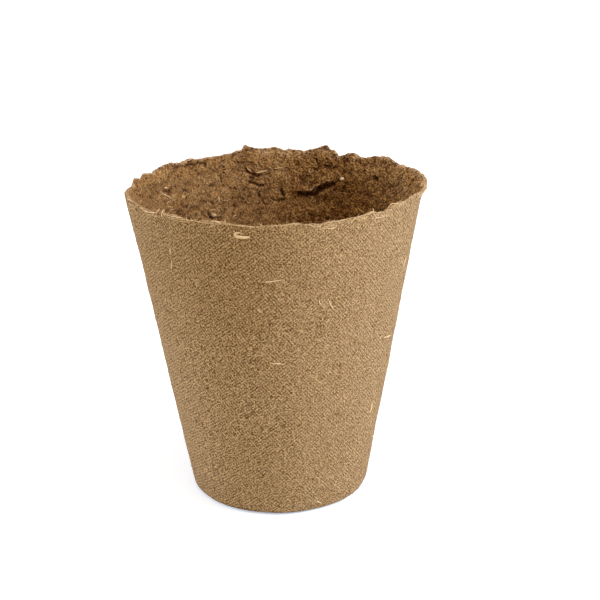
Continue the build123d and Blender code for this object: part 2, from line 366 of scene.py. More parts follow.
class FibreStreaks(Effect):
    """Short curved streaks in several directions, as single fibres show in felt."""

    title = "Fibre streaks"
    takes = {"Cloth": VECTOR, "Length": NUMBER, "Width": NUMBER, "Rarity": NUMBER, "Seed": NUMBER}
    gives = {"Streaks": NUMBER}

    ANGLES = (7.0, 42.0, 83.0, 118.0, 155.0)  # degrees from level
    BEND = 0.3  # noise for each millimetre that bends a streak
    SWAY = 2.2  # millimetres that it bends by
    DEEP = 4.0  # widths below a streak at which others lie
    EDGE = 0.09  # softness of a streak's edge

    def draw(self, graph: Graph, given: Any) -> dict[str, Socket]:
        """Lay one stretched noise for each direction and keep the strongest.

        Args:
            graph: The group's tree.
            given: Cloth, a streak's length and width in millimetres, rarity and seed.

        Returns:
            The mask of the streaks.
        """
        cloth = given["Cloth"]
        moved = graph.strayed(cloth, self.BEND, self.SWAY, 2.0)
        high = graph.math("ADD", given["Rarity"], self.EDGE)
        apart = graph.math("MULTIPLY", given["Width"], self.DEEP)
        sheet = graph.math("DIVIDE", graph.split(cloth)[2], apart)
        sheet = graph.math("ADD", sheet, given["Seed"])
        strongest: Any = 0.0
        for angle in self.ANGLES:
            turn = math.radians(angle)
            along = graph.dot(moved, (math.cos(turn), math.sin(turn), 0.0))
            across = graph.dot(moved, (-math.sin(turn), math.cos(turn), 0.0))
            stretched = graph.joined(
                graph.math("DIVIDE", along, given["Length"]),
                graph.math("DIVIDE", across, given["Width"]),
                graph.math("ADD", sheet, angle),
            )
            value = graph.noise(stretched, 1.0, 1.0).outputs[0]
            strongest = graph.math("MAXIMUM", strongest, graph.ramp(value, given["Rarity"], high))
        return {"Streaks": strongest}


class PeatTone(Effect):
    """Slow drift of the felt's tone, and its fine grain."""

    title = "Peat tone"
    takes = {"Cloth": VECTOR, "Cloud size": NUMBER, "Grain size": NUMBER}
    gives = {"Cloud": NUMBER, "Grain": NUMBER}

    def draw(self, graph: Graph, given: Any) -> dict[str, Socket]:
        """Lay a coarse and a fine noise.

        Args:
            graph: The group's tree.
            given: Cloth, and both sizes in millimetres.

        Returns:
            The cloud and the grain, both from 0 to 1.
        """
        cloud = graph.noise(given["Cloth"], graph.math("DIVIDE", 1.0, given["Cloud size"]), 4.0, 0.6)
        grain = graph.noise(given["Cloth"], graph.math("DIVIDE", 1.0, given["Grain size"]), 0.0)
        return {
            "Cloud": graph.ramp(cloud.outputs[0], 0.3, 0.7),
            "Grain": graph.ramp(grain.outputs[0], 0.32, 0.68),
        }


class Specks(Effect):
    """Sparse small specks of bark and dark peat."""

    title = "Specks"
    takes = {"Cloth": VECTOR, "Spacing": NUMBER, "Reach": NUMBER, "Share": NUMBER}
    gives = {"Specks": NUMBER}

    RAG = 1.6  # noise for each millimetre that makes a speck ragged
    STRAY = 0.7  # millimetres that it strays by

    def draw(self, graph: Graph, given: Any) -> dict[str, Socket]:
        """Lay cells and keep a share of their middles.

        Args:
            graph: The group's tree.
            given: Cloth, spacing in millimetres, a speck's reach and the share kept.

        Returns:
            The mask of the specks.
        """
        moved = graph.strayed(given["Cloth"], self.RAG, self.STRAY, 2.0)
        feeds = {"Vector": moved, "Scale": graph.math("DIVIDE", 1.0, given["Spacing"])}
        cells = graph.node("ShaderNodeTexVoronoi", feeds, voronoi_dimensions="2D")
        chance, size, _ = graph.split(cells.outputs["Color"])
        kept = graph.math("LESS_THAN", chance, given["Share"])
        reach = graph.math("MULTIPLY", given["Reach"], graph.ramp(size, 0.0, 1.0, 0.5, 1.2))
        inside = graph.ramp(cells.outputs["Distance"], reach, graph.math("MULTIPLY", reach, 0.5))
        return {"Specks": graph.math("MULTIPLY", kept, inside)}


def new_material(name: str) -> tuple[bpy.types.Material, Graph, Any]:
    """Make a material with a Principled shader.

    Args:
        name: The material's name.

    Returns:
        The material, its tree and the inputs of its shader.
    """
    material = bpy.data.materials.new(name)
    material.use_nodes = True
    shader = material.node_tree.nodes["Principled BSDF"]
    return material, Graph(material.node_tree), shader.inputs


def node_points(node: str) -> np.ndarray:
    """Corners of a CAD node's mesh, one row each."""
    return np.array([v.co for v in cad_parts[node].data.vertices], float)


def around(radius: Any, azimuth: Any, height: Any) -> np.ndarray:
    """Points at radii, azimuths in radians and heights."""
    parts = np.broadcast_arrays(radius * np.cos(azimuth), radius * np.sin(azimuth), height)
    return np.stack(parts, axis=-1).astype(float)


def swells(degrees: np.ndarray, rows: Swells) -> np.ndarray:
    """Sum of rounded swells round the pot.

    Args:
        degrees: The azimuths.
        rows: Azimuth and spread in degrees, and height, of each swell.

    Returns:
        The sum at each azimuth.
    """
    total = np.zeros_like(degrees)
    for azimuth, spread, height in rows:
        away = (degrees - azimuth + 180) % 360 - 180
        total += height * np.exp(-((away / spread) ** 2))
    return total


@dataclass(frozen=True)
class CupShape:
    """Sizes of the cup, read from its solids."""

    base_top: float
    wall_top: float
    foot_radius: float  # where the outside cone meets the standing face
    flare: float  # outward for each step up
    wall_across: float
    floor: float
    drain_radius: float
    heel_flat: float  # radius of the flat of the standing face
    floor_flat: float  # radius of the flat of the floor
    tear_azimuths: np.ndarray
    tear_heights: np.ndarray

    HAIR: ClassVar[float] = 0.01 * MM
    CUT_FACE: ClassVar[float] = 0.35  # faces of the tear look up at least so far

    @classmethod
    def from_frame(cls) -> "CupShape":
        """Read the sizes off the nodes of the felt."""
        side, base, deckle = (node_points(n) for n in ("side_wall", "base", "rim_deckle"))
        low, high = side[:, 2].min(), side[:, 2].max()
        reach = np.hypot(side[:, 0], side[:, 1])
        low_out = reach[side[:, 2] < low + cls.HAIR].max()
        high_ring = reach[side[:, 2] > high - cls.HAIR]
        flare = (high_ring.max() - low_out) / (high - low)
        foot = low_out - flare * low
        base_reach = np.hypot(base[:, 0], base[:, 1])
        drain = base_reach.min()
        floor = base[base_reach < drain + cls.HAIR, 2].max()
        on_floor = np.abs(base[:, 2] - floor) < cls.HAIR
        hollow = base_reach < foot - (high_ring.max() - high_ring.min())
        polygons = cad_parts["rim_deckle"].data.polygons
        cut_faces = [f for f in polygons if f.normal.z > cls.CUT_FACE]
        tear = deckle[sorted({v for f in cut_faces for v in f.vertices})]
        tear = tear[np.hypot(tear[:, 0], tear[:, 1]) > foot + flare * tear[:, 2] - cls.HAIR]
        turns = np.arctan2(tear[:, 1], tear[:, 0]) % TURN
        order = np.argsort(turns)
        return cls(
            base_top=low,
            wall_top=high,
            foot_radius=foot,
            flare=flare,
            wall_across=high_ring.max() - high_ring.min(),
            floor=floor,
            drain_radius=drain,
            heel_flat=base_reach[base[:, 2] < cls.HAIR].max(),
            floor_flat=base_reach[on_floor & hollow].max(),
            tear_azimuths=turns[order],
            tear_heights=tear[order, 2],
        )

    @property
    def lean(self) -> float:
        """Angle of the side from upright."""
        return math.atan(self.flare)

    @property
    def apex(self) -> float:
        """Height of the cone's point, below the pot."""
        return -self.foot_radius / self.flare

    def outer(self, height: Any) -> Any:
        """Radius of the outside face at a height."""
        return self.foot_radius + self.flare * height

    def inner(self, height: Any) -> Any:
        """Radius of the inside face at a height."""
        return self.outer(height) - self.wall_across

    def tear(self, azimuth: np.ndarray) -> np.ndarray:
        """Height of the tear at azimuths in radians."""
        return np.interp(azimuth % TURN, self.tear_azimuths, self.tear_heights, period=TURN)

    def fillet(self, flat: float, corner: float) -> float:
        """Radius of the rounding between a flat and the side.

        Args:
            flat: Radius where the flat ends.
            corner: Radius where the flat would meet the side.

        Returns:
            The rounding's radius.
        """
        return (corner - flat) * math.tan((math.pi / 2 + self.lean) / 2)

    def outside_frame(self, azimuth: float, height: float) -> Matrix:
        """Axes on the outside face: x round the pot, y up the slope, z off the face.

        Args:
            azimuth: Azimuth in radians.
            height: Height.

        Returns:
            The axes and their origin.
        """
        off = Vector(around(math.cos(self.lean), azimuth, -math.sin(self.lean)))
        round_pot = Vector(around(1.0, azimuth + math.pi / 2, 0.0))
        origin = Vector(around(self.outer(height), azimuth, height))
        axes = Matrix((round_pot, off.cross(round_pot), off)).transposed().to_4x4()
        return Matrix.Translation(origin) @ axes


@dataclass(frozen=True)
class FeltFinish:
    """Matt pressed felt: tan fibre with dimples, streaks and specks, painted shade in its hollows and
    dimples, and painted highlight on the weave's knuckles.
    """

    name: str
    layout: Layout
    shape: CupShape
    tan: Colour
    warm: Colour
    pale: Colour
    dark: Colour
    torn: Colour
    weave: float  # strength of the woven mark
    grain: float  # strength of the fine grain's dark side
    chaff: float  # strength of its pale side
    grain_size: float  # in millimetres
    crumbs: float  # how much stronger the grain is towards +X
    fibres: float  # strength of the pale fibre streaks
    cracks: float  # strength of the dark streaks between fibres
    streak: tuple[float, float]  # length and width of a streak, in millimetres
    rarity: float  # from 0.5 for many streaks to 0.8 for few
    hollow_shade: float  # strength of the painted shade in the hollows
    relief: float  # depth of the bump
    sheen: float
    fade: tuple[float, float, float]  # painted shade: what colours are multiplied by near the rim, most towards -X

    PITCH: ClassVar[float] = 0.765  # millimetres between rows of the woven mark
    FIRST_ROW: ClassVar[float] = math.radians(37.9)
    SECOND_ROW: ClassVar[float] = math.radians(130.6)
    JITTER: ClassVar[float] = 0.36  # millimetres that a dimple strays
    SEAM_TURN: ClassVar[float] = math.radians(88)  # puts the cloth's seam at the back
    CLOUD: ClassVar[float] = 11.0  # millimetres of a drift in tone
    CRUMBLY: ClassVar[tuple[float, float]] = (-16 * MM, 20 * MM)  # where along X the crumbs set in
    SHADE_HEIGHTS: ClassVar[tuple[float, float]] = (30 * MM, 80 * MM)  # heights between which the painted shade sets in
    SHADE_LEFT: ClassVar[float] = 0.15  # share of the painted shade that is left towards +X
    RUBBED: ClassVar[float] = 0.35  # share of the woven mark that the torn edge keeps
    WORN: ClassVar[float] = 0.75  # share of it that is left towards +X
    KNUCKLE_HIGHLIGHT: ClassVar[float] = 0.65  # strength of the painted highlight on its knuckles
    DIMPLE_SHADE: ClassVar[float] = 0.7  # strength of the painted shade in its dimples
    TEAR: ClassVar[float] = 0.75  # strength of the torn edge's colour
    CRACK: ClassVar[tuple[float, float]] = (0.7, 1.2)  # times a pale streak's length and width
    SEEDS: ClassVar[tuple[float, float]] = (3.0, 71.0)  # of the pale and of the dark streaks
    SPECKS: ClassVar[float] = 0.65  # strength of the specks
    SPECK_SPACING: ClassVar[float] = 2.6  # in millimetres
    SPECK_REACH: ClassVar[float] = 0.19  # as a share of the spacing
    SPECK_SHARE: ClassVar[float] = 0.14  # of the places that hold a speck
    GRAIN_RISE: ClassVar[float] = 1.4  # height of the grain beside the other marks
    ROUGHNESS: ClassVar[float] = 0.95
    SHEEN_ROUGHNESS: ClassVar[float] = 0.5
    GLOSS: ClassVar[float] = 0.1

    def cloth(self, graph: Graph, place: Socket) -> Socket:
        """Place on the felt as a place on flat cloth, in millimetres.

        Args:
            graph: The material's tree.
            place: The place on the felt.

        Returns:
            The place on the cloth.
        """
        if self.layout is Layout.FLAT:
            return graph.scaled(place, 1 / MM)
        values = {"Apex": self.shape.apex, "Lean": self.shape.lean, "Seam turn": self.SEAM_TURN}
        return ConeWrap().place(graph, Place=place, **values)["Cloth"]

    def material(self) -> bpy.types.Material:
        """Build the felt's material."""
        material, graph, felt = new_material(self.name)
        place = graph.node("ShaderNodeTexCoord").outputs["Object"]
        cloth = self.cloth(graph, place)
        sizes = {"Cloud size": self.CLOUD, "Grain size": self.grain_size}
        tone = PeatTone().place(graph, Cloth=cloth, **sizes)
        torn = graph.painted("torn")
        rows = {"Pitch": self.PITCH, "First row": self.FIRST_ROW, "Second row": self.SECOND_ROW}
        weave = WovenMark().place(graph, Cloth=cloth, Jitter=self.JITTER, **rows)["Weave"]
        along, _, height = graph.split(place)
        right = graph.ramp(along, *self.CRUMBLY)
        weave = graph.math("MULTIPLY", weave, graph.ramp(torn, 0.0, 1.0, 1.0, self.RUBBED))
        weave = graph.math("MULTIPLY", weave, graph.ramp(right, 0.0, 1.0, 1.0, self.WORN))
        crumbs = graph.math("MULTIPLY_ADD", right, self.crumbs, 1.0)
        length, width = self.streak
        streak = {"Cloth": cloth, "Length": length, "Width": width, "Rarity": self.rarity}
        light = FibreStreaks().place(graph, Seed=self.SEEDS[0], **streak)["Streaks"]
        streak |= {"Length": length * self.CRACK[0], "Width": width * self.CRACK[1]}
        shade = FibreStreaks().place(graph, Seed=self.SEEDS[1], **streak)["Streaks"]
        share = graph.math("MULTIPLY", crumbs, self.SPECK_SHARE)
        values = {"Spacing": self.SPECK_SPACING, "Reach": self.SPECK_REACH, "Share": share}
        specks = Specks().place(graph, Cloth=cloth, **values)["Specks"]

        base = graph.mix(tone["Cloud"], self.warm, self.tan)
        layers = (
            (torn, self.TEAR, self.torn),
            (graph.ramp(tone["Grain"], 0.5, 1.0, 0.0, self.chaff), crumbs, self.pale),
            (graph.ramp(tone["Grain"], 0.5, 0.0, 0.0, self.grain), crumbs, self.dark),
            # painted highlight on the weave's knuckles and painted shade in its dimples, standing in for
            # the light on their relief
            (graph.ramp(weave, 0.05, 0.8), self.KNUCKLE_HIGHLIGHT * self.weave, self.pale),
            (graph.ramp(weave, -0.05, -0.6), self.DIMPLE_SHADE * self.weave, self.dark),
            (shade, self.cracks, self.dark),
            (light, self.fibres, self.pale),
            # painted shade in the hollows of the inside
            (graph.painted("hollow"), self.hollow_shade, self.dark),
            (specks, self.SPECKS, self.dark),
        )
        for mask, strength, colour in layers:
            base = graph.mix(graph.math("MULTIPLY", mask, strength), base, colour)
        # Painted shade: colours grow darker near the rim, most towards -X.
        left = graph.ramp(right, 0.0, 1.0, 1.0, self.SHADE_LEFT)
        painted_shade = graph.math("MULTIPLY", graph.ramp(height, *self.SHADE_HEIGHTS), left)
        base = graph.mix(painted_shade, base, graph.vector("MULTIPLY", base, self.fade))
        graph.feed(felt, "Base Color", base)

        rise = graph.math("MULTIPLY", tone["Grain"], self.GRAIN_RISE * self.grain)
        rise = graph.math("MULTIPLY", rise, crumbs)
        rise = graph.math("MULTIPLY_ADD", weave, self.weave, rise)
        rise = graph.math("MULTIPLY_ADD", light, self.fibres, rise)
        rise = graph.math("MULTIPLY_ADD", shade, -self.cracks, rise)
        bump = graph.node("ShaderNodeBump", {"Height": rise, "Distance": self.relief})
        graph.feed(felt, "Normal", bump.outputs[0])
        graph.feed(felt, "Roughness", graph.ramp(tone["Grain"], 0.0, 1.0, self.ROUGHNESS, 1.0))
        graph.feed(felt, "Sheen Weight", self.sheen)
        graph.feed(felt, "Sheen Roughness", self.SHEEN_ROUGHNESS)
        graph.feed(felt, "Specular IOR Level", self.GLOSS)
        return material


@dataclass(frozen=True)
class WoodFinish:
    """Raw wood or bark in small bits, each of its own tint, with a fine grain."""

    name: str
    light: Colour
    deep: Colour
    grain_size: float
    relief: float

    def material(self) -> bpy.types.Material:
        """Build the wood's material."""
        material, graph, wood = new_material(self.name)
        place = graph.node("ShaderNodeTexCoord").outputs["Object"]
        grain = graph.noise(place, 1 / self.grain_size, 3.0, 0.6).outputs[0]
        tint = graph.math("MULTIPLY", graph.painted("tint"), 0.65)
        shade = graph.math("MULTIPLY_ADD", graph.ramp(grain, 0.3, 0.7), 0.35, tint)
        graph.feed(wood, "Base Color", graph.mix(shade, self.deep, self.light))
        graph.feed(wood, "Roughness", graph.ramp(grain, 0.2, 0.8, 0.75, 0.95))
        bump = graph.node("ShaderNodeBump", {"Height": grain, "Distance": self.relief})
        graph.feed(wood, "Normal", bump.outputs[0])
        graph.feed(wood, "Specular IOR Level", 0.2)
        return material


WOODS = (
    WoodFinish("pale_wood", (0.86, 0.66, 0.41, 1.0), (0.52, 0.34, 0.17, 1.0), 0.35 * MM, 0.03 * MM),
    WoodFinish("raw_fibre", (0.74, 0.54, 0.31, 1.0), (0.34, 0.20, 0.085, 1.0), 0.5 * MM, 0.02 * MM),
    WoodFinish("split_wood", (0.95, 0.82, 0.64, 1.0), (0.85, 0.66, 0.42, 1.0), 0.3 * MM, 0.03 * MM),
    WoodFinish("bark", (0.13, 0.065, 0.028, 1.0), (0.03, 0.013, 0.006, 1.0), 0.3 * MM, 0.05 * MM),
)


def new_tree(title: str, inputs: dict[str, str]) -> tuple[bpy.types.NodeTree, Graph, Any]:
    """Make an empty tree of geometry nodes with named inputs.

    Args:
        title: The tree's name.
        inputs: Socket type of each input besides the geometry.

    Returns:
        The tree, its graph and the outputs of its input node.
    """
    tree = bpy.data.node_groups.new(title, "GeometryNodeTree")
    tree.interface.new_socket("Geometry", in_out="INPUT", socket_type="NodeSocketGeometry")
    for name, kind in inputs.items():
        tree.interface.new_socket(name, in_out="INPUT", socket_type=kind)
    tree.interface.new_socket("Geometry", in_out="OUTPUT", socket_type="NodeSocketGeometry")
    graph = Graph(tree)
    return tree, graph, graph.node("NodeGroupInput").outputs


def grown(piece: bpy.types.Object, tree: bpy.types.NodeTree, values: dict[str, Any]) -> None:
    """Run a tree on a piece and keep the result as the piece's plain mesh.

    Args:
        piece: The object that gets the mesh.
        tree: The tree of geometry nodes.
        values: Values for the tree's inputs, by name.
    """
    modifier = piece.modifiers.new(tree.name, "NODES")
    modifier.node_group = tree
    for item in tree.interface.items_tree:
        if item.in_out == "INPUT" and item.name in values:
            modifier[item.identifier] = values[item.name]
    depsgraph = bpy.context.evaluated_depsgraph_get()
    evaluated = piece.evaluated_get(depsgraph)
    made = bpy.data.meshes.new_from_object(evaluated, preserve_all_data_layers=True, depsgraph=depsgraph)
    piece.modifiers.remove(modifier)
    old = piece.data
    piece.data = made
    bpy.data.meshes.remove(old)
    made.name = piece.name
    made.shade_smooth()


def new_piece(name: str, points: Any = (), faces: Any = ()) -> bpy.types.Object:
    """Make an object with a mesh and link it to the scene.

    Args:
        name: The object's name.
        points: The mesh's corners.
        faces: Its faces, as lists of corner numbers.

    Returns:
        The object.
    """
    mesh = bpy.data.meshes.new(name)
    mesh.from_pydata([tuple(p) for p in points], [], [tuple(f) for f in faces])
    mesh.update()
    piece = bpy.data.objects.new(name, mesh)
    bpy.context.scene.collection.objects.link(piece)
    return piece


def store(piece: bpy.types.Object, name: str, kind: str, domain: str, values: Any) -> None:
    """Store an attribute on a piece's mesh.

    Args:
        piece: The object.
        name: The attribute's name.
        kind: Its data type.
        domain: What it is stored on.
        values: Its values, in order.
    """
    made = piece.data.attributes.new(name, kind, domain)
    field = "vector" if kind == "FLOAT_VECTOR" else "value"
    made.data.foreach_set(field, np.ascontiguousarray(values).ravel())


def hand_over(piece: bpy.types.Object, slot: str, *nodes: str) -> None:
    """Tell the frame what a finished piece is.

    Args:
        piece: The finished piece.
        slot: Not used.
        nodes: CAD nodes that the piece stands for.
    """
    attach(piece, BODY)
    if nodes:
        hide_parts(*nodes)
    LOG.info("%s: %d faces", piece.name, len(piece.data.polygons))


def tube(rings: np.ndarray) -> tuple[np.ndarray, list[tuple[int, ...]]]:
    """Closed skin over rings of points, with a fan over each end.

    Args:
        rings: Points, as rings by corners by three.

    Returns:
        The corners and the faces.
    """
    count, sides, _ = rings.shape
    points = np.concatenate([rings.reshape(-1, 3), rings[:1].mean(1), rings[-1:].mean(1)])
    faces: list[tuple[int, ...]] = []
    for i in range(count - 1):
        for j in range(sides):
            k = (j + 1) % sides
            faces.append((i * sides + j, i * sides + k, (i + 1) * sides + k, (i + 1) * sides + j))
    start, end, last = count * sides, count * sides + 1, (count - 1) * sides
    for j in range(sides):
        k = (j + 1) % sides
        faces.append((k, j, start))
        faces.append((last + j, last + k, end))
    return points, faces


class BitMaster:
    """Bits of unit size that the trees repeat: length along X, width along Y, height along Z."""

    @classmethod
    def made(cls, form: BitForm) -> bpy.types.Object:
        """Make one bit.

        Args:
            form: Its shape.

        Returns:
            Its object, to be removed after use.
        """
        outlines = {
            BitForm.SPLINTER: cls.splinter,
            BitForm.STRAND: cls.strand,
            BitForm.FLAKE: cls.flake,
            BitForm.GRAIN: cls.grain,
        }
        points, faces = tube(outlines[form]())
        piece = new_piece("master_" + form.value, points, faces)
        store(piece, "rise", "FLOAT", "POINT", points[:, 2])
        return piece

    @staticmethod
    def splinter() -> np.ndarray:
        """Rings of a flat splinter with a ridged top and torn ends."""
        section = ((-0.5, 0.2), (0.0, 0.0), (0.5, 0.2), (0.32, 0.75), (0.05, 0.6), (-0.25, 1.0))
        widths = (0.12, 0.45, 0.8, 0.92, 1.0, 0.86, 0.78, 0.4, 0.2)
        lean = (0.2, 0.12, 0.0, -0.08, 0.0, 0.1, 0.05, -0.1, -0.25)
        places = np.linspace(-0.5, 0.5, len(widths))
        rings = []
        for x, w, s in zip(places, widths, lean):
            rings.append([(x, y * w + s, z * (0.4 + 0.6 * w)) for y, z in section])
        return np.array(rings)

    @staticmethod
    def strand() -> np.ndarray:
        """Rings of a thin three-sided strand that tapers to both ends."""
        widths = (0.3, 0.8, 1.0, 0.95, 0.85, 0.6, 0.2)
        places = np.linspace(-0.5, 0.5, len(widths))
        turns = np.arange(3) * TURN / 3 + math.pi / 2
        corners = [(0.5 * math.cos(t), 0.5 + 0.5 * math.sin(t)) for t in turns]
        return np.array([[(x, y * w, z * w) for y, z in corners] for x, w in zip(places, widths)])

    @staticmethod
    def flake() -> np.ndarray:
        """Rings of a thin curled flake with an uneven outline."""
        outline = (0.9, 1.0, 0.75, 0.95, 0.7, 1.0, 0.85, 0.65)
        turns = np.arange(len(outline)) * TURN / len(outline)
        rings = []
        for share, height in ((0.4, 0.0), (0.85, 0.05), (1.0, 0.5), (0.8, 0.9), (0.35, 1.0)):
            rings.append([(0.5 * r * share * math.cos(t), 0.5 * r * share * math.sin(t), height)
                          for r, t in zip(outline, turns)])
        return np.array(rings)

    @staticmethod
    def grain() -> np.ndarray:
        """Rings of a rounded lump."""
        turns = np.arange(8) * TURN / 8
        rings = []
        for tilt in np.radians((-68, -35, 0, 35, 68)):
            rings.append([(0.5 * math.cos(tilt) * math.cos(t), 0.5 * math.cos(tilt) * math.sin(t),
                           0.5 + 0.5 * math.sin(tilt)) for t in turns])
        return np.array(rings)


def felt_piece(
    name: str,
    points: np.ndarray,
    faces: list[Any],
    pushes: np.ndarray,
    marks: dict[str, np.ndarray],
    kinds: np.ndarray,
) -> bpy.types.Object:
    """Make a piece of felt with what the relief needs stored on it.

    Args:
        name: The object's name.
        points: Its corners.
        faces: Its faces.
        pushes: Direction of the relief at each corner.
        marks: Numbers at each corner, by name.
        kinds: The Face value of each face.

    Returns:
        The object.
    """
    piece = new_piece(name, points.tolist(), faces)
    store(piece, "push", "FLOAT_VECTOR", "POINT", pushes)
    for mark, values in marks.items():
        store(piece, mark, "FLOAT", "POINT", values)
    store(piece, "face_kind", "INT", "FACE", kinds.astype(np.int32))
    return piece


@dataclass(frozen=True)
class Crevice:
    """A short sharp fold in the inside face."""

    width: float  # millimetres, as is the depth
    depth: float
    path: tuple[tuple[float, float], ...]  # azimuths in degrees and heights in millimetres
    steep: float = 2.0  # from 2 for soft shoulders to 6 for a pit

    RADIUS: ClassVar[float] = 37.0 * MM  # about where the folds are

    @classmethod
    def unrolled(cls, points: np.ndarray) -> np.ndarray:
        """Places round the pot and up it, moved about a little so that folds are uneven.

        Args:
            points: The points, one row each.

        Returns:
            The places, one row each.
        """
        turns = np.arctan2(points[:, 1], points[:, 0]) % TURN
        flat = np.stack([cls.RADIUS * turns, points[:, 2]], axis=-1)
        moved = flat.copy()
        for size, shift in ((3.1 * MM, 0.16 * MM), (1.3 * MM, 0.13 * MM), (0.6 * MM, 0.09 * MM)):
            moved[:, 0] += shift * np.sin((flat[:, 0] * 0.6 + flat[:, 1]) * TURN / size)
            moved[:, 1] += shift * np.sin((flat[:, 0] - flat[:, 1] * 0.45) * TURN / size)
        return moved

    def at(self, places: np.ndarray) -> np.ndarray:
        """How deep the fold is at places.

        Args:
            places: The places, as unrolled gives them.

        Returns:
            The depth at each.
        """
        knots = [np.array((self.RADIUS * math.radians(a), z * MM)) for a, z in self.path]
        nearest = np.full(len(places), np.inf)
        for first, second in zip(knots, knots[1:]):
            step = second - first
            share = np.clip((places - first) @ step / (step @ step), 0.0, 1.0)
            nearest = np.minimum(nearest, np.linalg.norm(places - first - share[:, None] * step, axis=1))
        return self.depth * MM * np.exp(-((nearest / (self.width * MM)) ** self.steep))


CREVICES = (
    Crevice(0.23, 0.65, ((103.0, 80.6), (100.7, 80.2), (99.4, 79.5))),
    Crevice(0.25, 0.7, ((102.1, 80.3), (99.8, 79.7), (97.2, 79.0))),
    Crevice(0.23, 0.65, ((102.2, 78.9), (99.5, 78.5), (97.7, 77.9))),
    Crevice(0.32, 0.8, ((101.9, 77.6), (98.7, 76.7), (95.5, 76.3))),
    Crevice(0.22, 0.55, ((99.3, 75.2), (98.0, 73.7), (96.6, 72.5))),
    Crevice(0.22, 0.4, ((137.0, 84.8), (129.8, 84.6), (122.1, 84.5))),
    Crevice(0.22, 0.5, ((147.5, 79.5), (142.3, 78.7))),
    Crevice(0.28, 0.65, ((135.2, 77.9), (131.3, 77.2))),
    Crevice(0.22, 0.55, ((121.5, 77.9), (119.5, 77.6))),
    Crevice(0.28, 0.55, ((115.6, 80.4), (114.9, 78.6))),
    Crevice(0.26, 0.65, ((121.0, 73.2), (120.3, 71.7))),
    Crevice(0.34, 0.85, ((123.7, 70.6), (122.9, 69.4), (122.1, 68.5))),
    Crevice(0.24, 0.55, ((138.8, 74.7), (136.2, 73.2))),
    Crevice(0.22, 0.5, ((107.4, 73.5), (105.1, 73.1))),
    Crevice(0.24, 0.5, ((109.8, 72.1), (109.8, 70.9))),
    Crevice(0.42, 0.9, ((87.7, 75.2), (87.2, 74.3), (86.7, 73.6)), 4.0),
    Crevice(0.24, 0.55, ((91.9, 72.5), (89.6, 71.9), (86.3, 72.3))),
    Crevice(0.60, 0.6, ((77.5, 77.3), (74.0, 76.8), (70.4, 77.2))),
    Crevice(
        0.60, 1.0, ((79.0, 74.1), (75.0, 73.8), (71.5, 74.2), (70.0, 75.4), (66.0, 76.7), (63.0, 77.7))
    ),
    Crevice(0.24, 0.3, ((74.4, 81.5), (71.1, 81.1))),
    Crevice(0.22, 0.35, ((68.0, 82.5), (64.6, 82.1), (60.7, 82.5))),
    Crevice(0.24, 0.3, ((60.6, 85.2), (58.1, 84.8), (55.2, 83.4))),
    Crevice(0.62, 1.3, ((41.0, 81.1), (39.6, 80.8)), 6.0),
)


class FeltRing:
    """Closed ring of felt, gathered row by row round the pot."""

    def __init__(self, columns: int) -> None:
        """Start with no rows and that many columns."""
        self.azimuths = np.arange(columns) * TURN / columns
        self.points: list[np.ndarray] = []
        self.pushes: list[np.ndarray] = []
        self.marks: list[np.ndarray] = []
        self.faces: list[Face] = []
        self.sharp: list[bool] = []

    def row(
        self,
        radius: Any,
        height: Any,
        push: tuple[float, float],
        face: Face,
        inside: float = 0.0,
        torn: Any = 0.0,
        press: float = 0.0,
        sharp: bool = False,
    ) -> None:
        """Add a row of points.

        Args:
            radius: Radius, one for all columns or one each.
            height: Height, likewise.
            push: Direction of the relief, outward and up.
            face: What the band from this row to the next is.
            inside: 0 for relief of the outside, 1 for that of the inside.
            torn: How much of the torn edge's look the row has, one for all columns or one each.
            press: 1 where relief may only sink.
            sharp: Whether the row is an edge between faces.
        """
        ones = np.ones_like(self.azimuths)
        self.points.append(around(radius * ones, self.azimuths, height * ones))
        self.pushes.append(around(push[0] * ones, self.azimuths, push[1] * ones))
        self.marks.append(np.stack([inside * ones, torn * ones, press * ones], axis=-1))
        self.faces.append(face)
        self.sharp.append(sharp)

    def piece(self, name: str) -> bpy.types.Object:
        """Make the ring's object.

        Args:
            name: The object's name.

        Returns:
            The object.
        """
        rows, columns = len(self.points), len(self.azimuths)
        grid = np.arange(rows * columns).reshape(rows, columns)
        above, beside = np.roll(grid, -1, axis=0), np.roll(grid, -1, axis=1)
        corner = np.roll(above, -1, axis=1)
        faces = np.stack([grid, beside, corner, above], axis=-1).reshape(-1, 4)
        points = np.concatenate(self.points)
        inside, torn, press = np.concatenate(self.marks).T
        places = Crevice.unrolled(points)
        crevice = inside * np.max([fold.at(places) for fold in CREVICES], axis=0)
        marks = {"inside": inside, "torn": torn, "press": press, "crevice": crevice}
        kinds = np.repeat([face.value for face in self.faces], columns)
        piece = felt_piece(name, points, faces.tolist(), np.concatenate(self.pushes), marks, kinds)
        ends = np.zeros(len(piece.data.edges) * 2, np.int32)
        piece.data.edges.foreach_get("vertices", ends)
        ends = ends.reshape(-1, 2) // columns
        sharp = np.array(self.sharp)[ends[:, 0]] & (ends[:, 0] == ends[:, 1])
        store(piece, "sharp_edge", "BOOLEAN", "EDGE", sharp)
        return piece


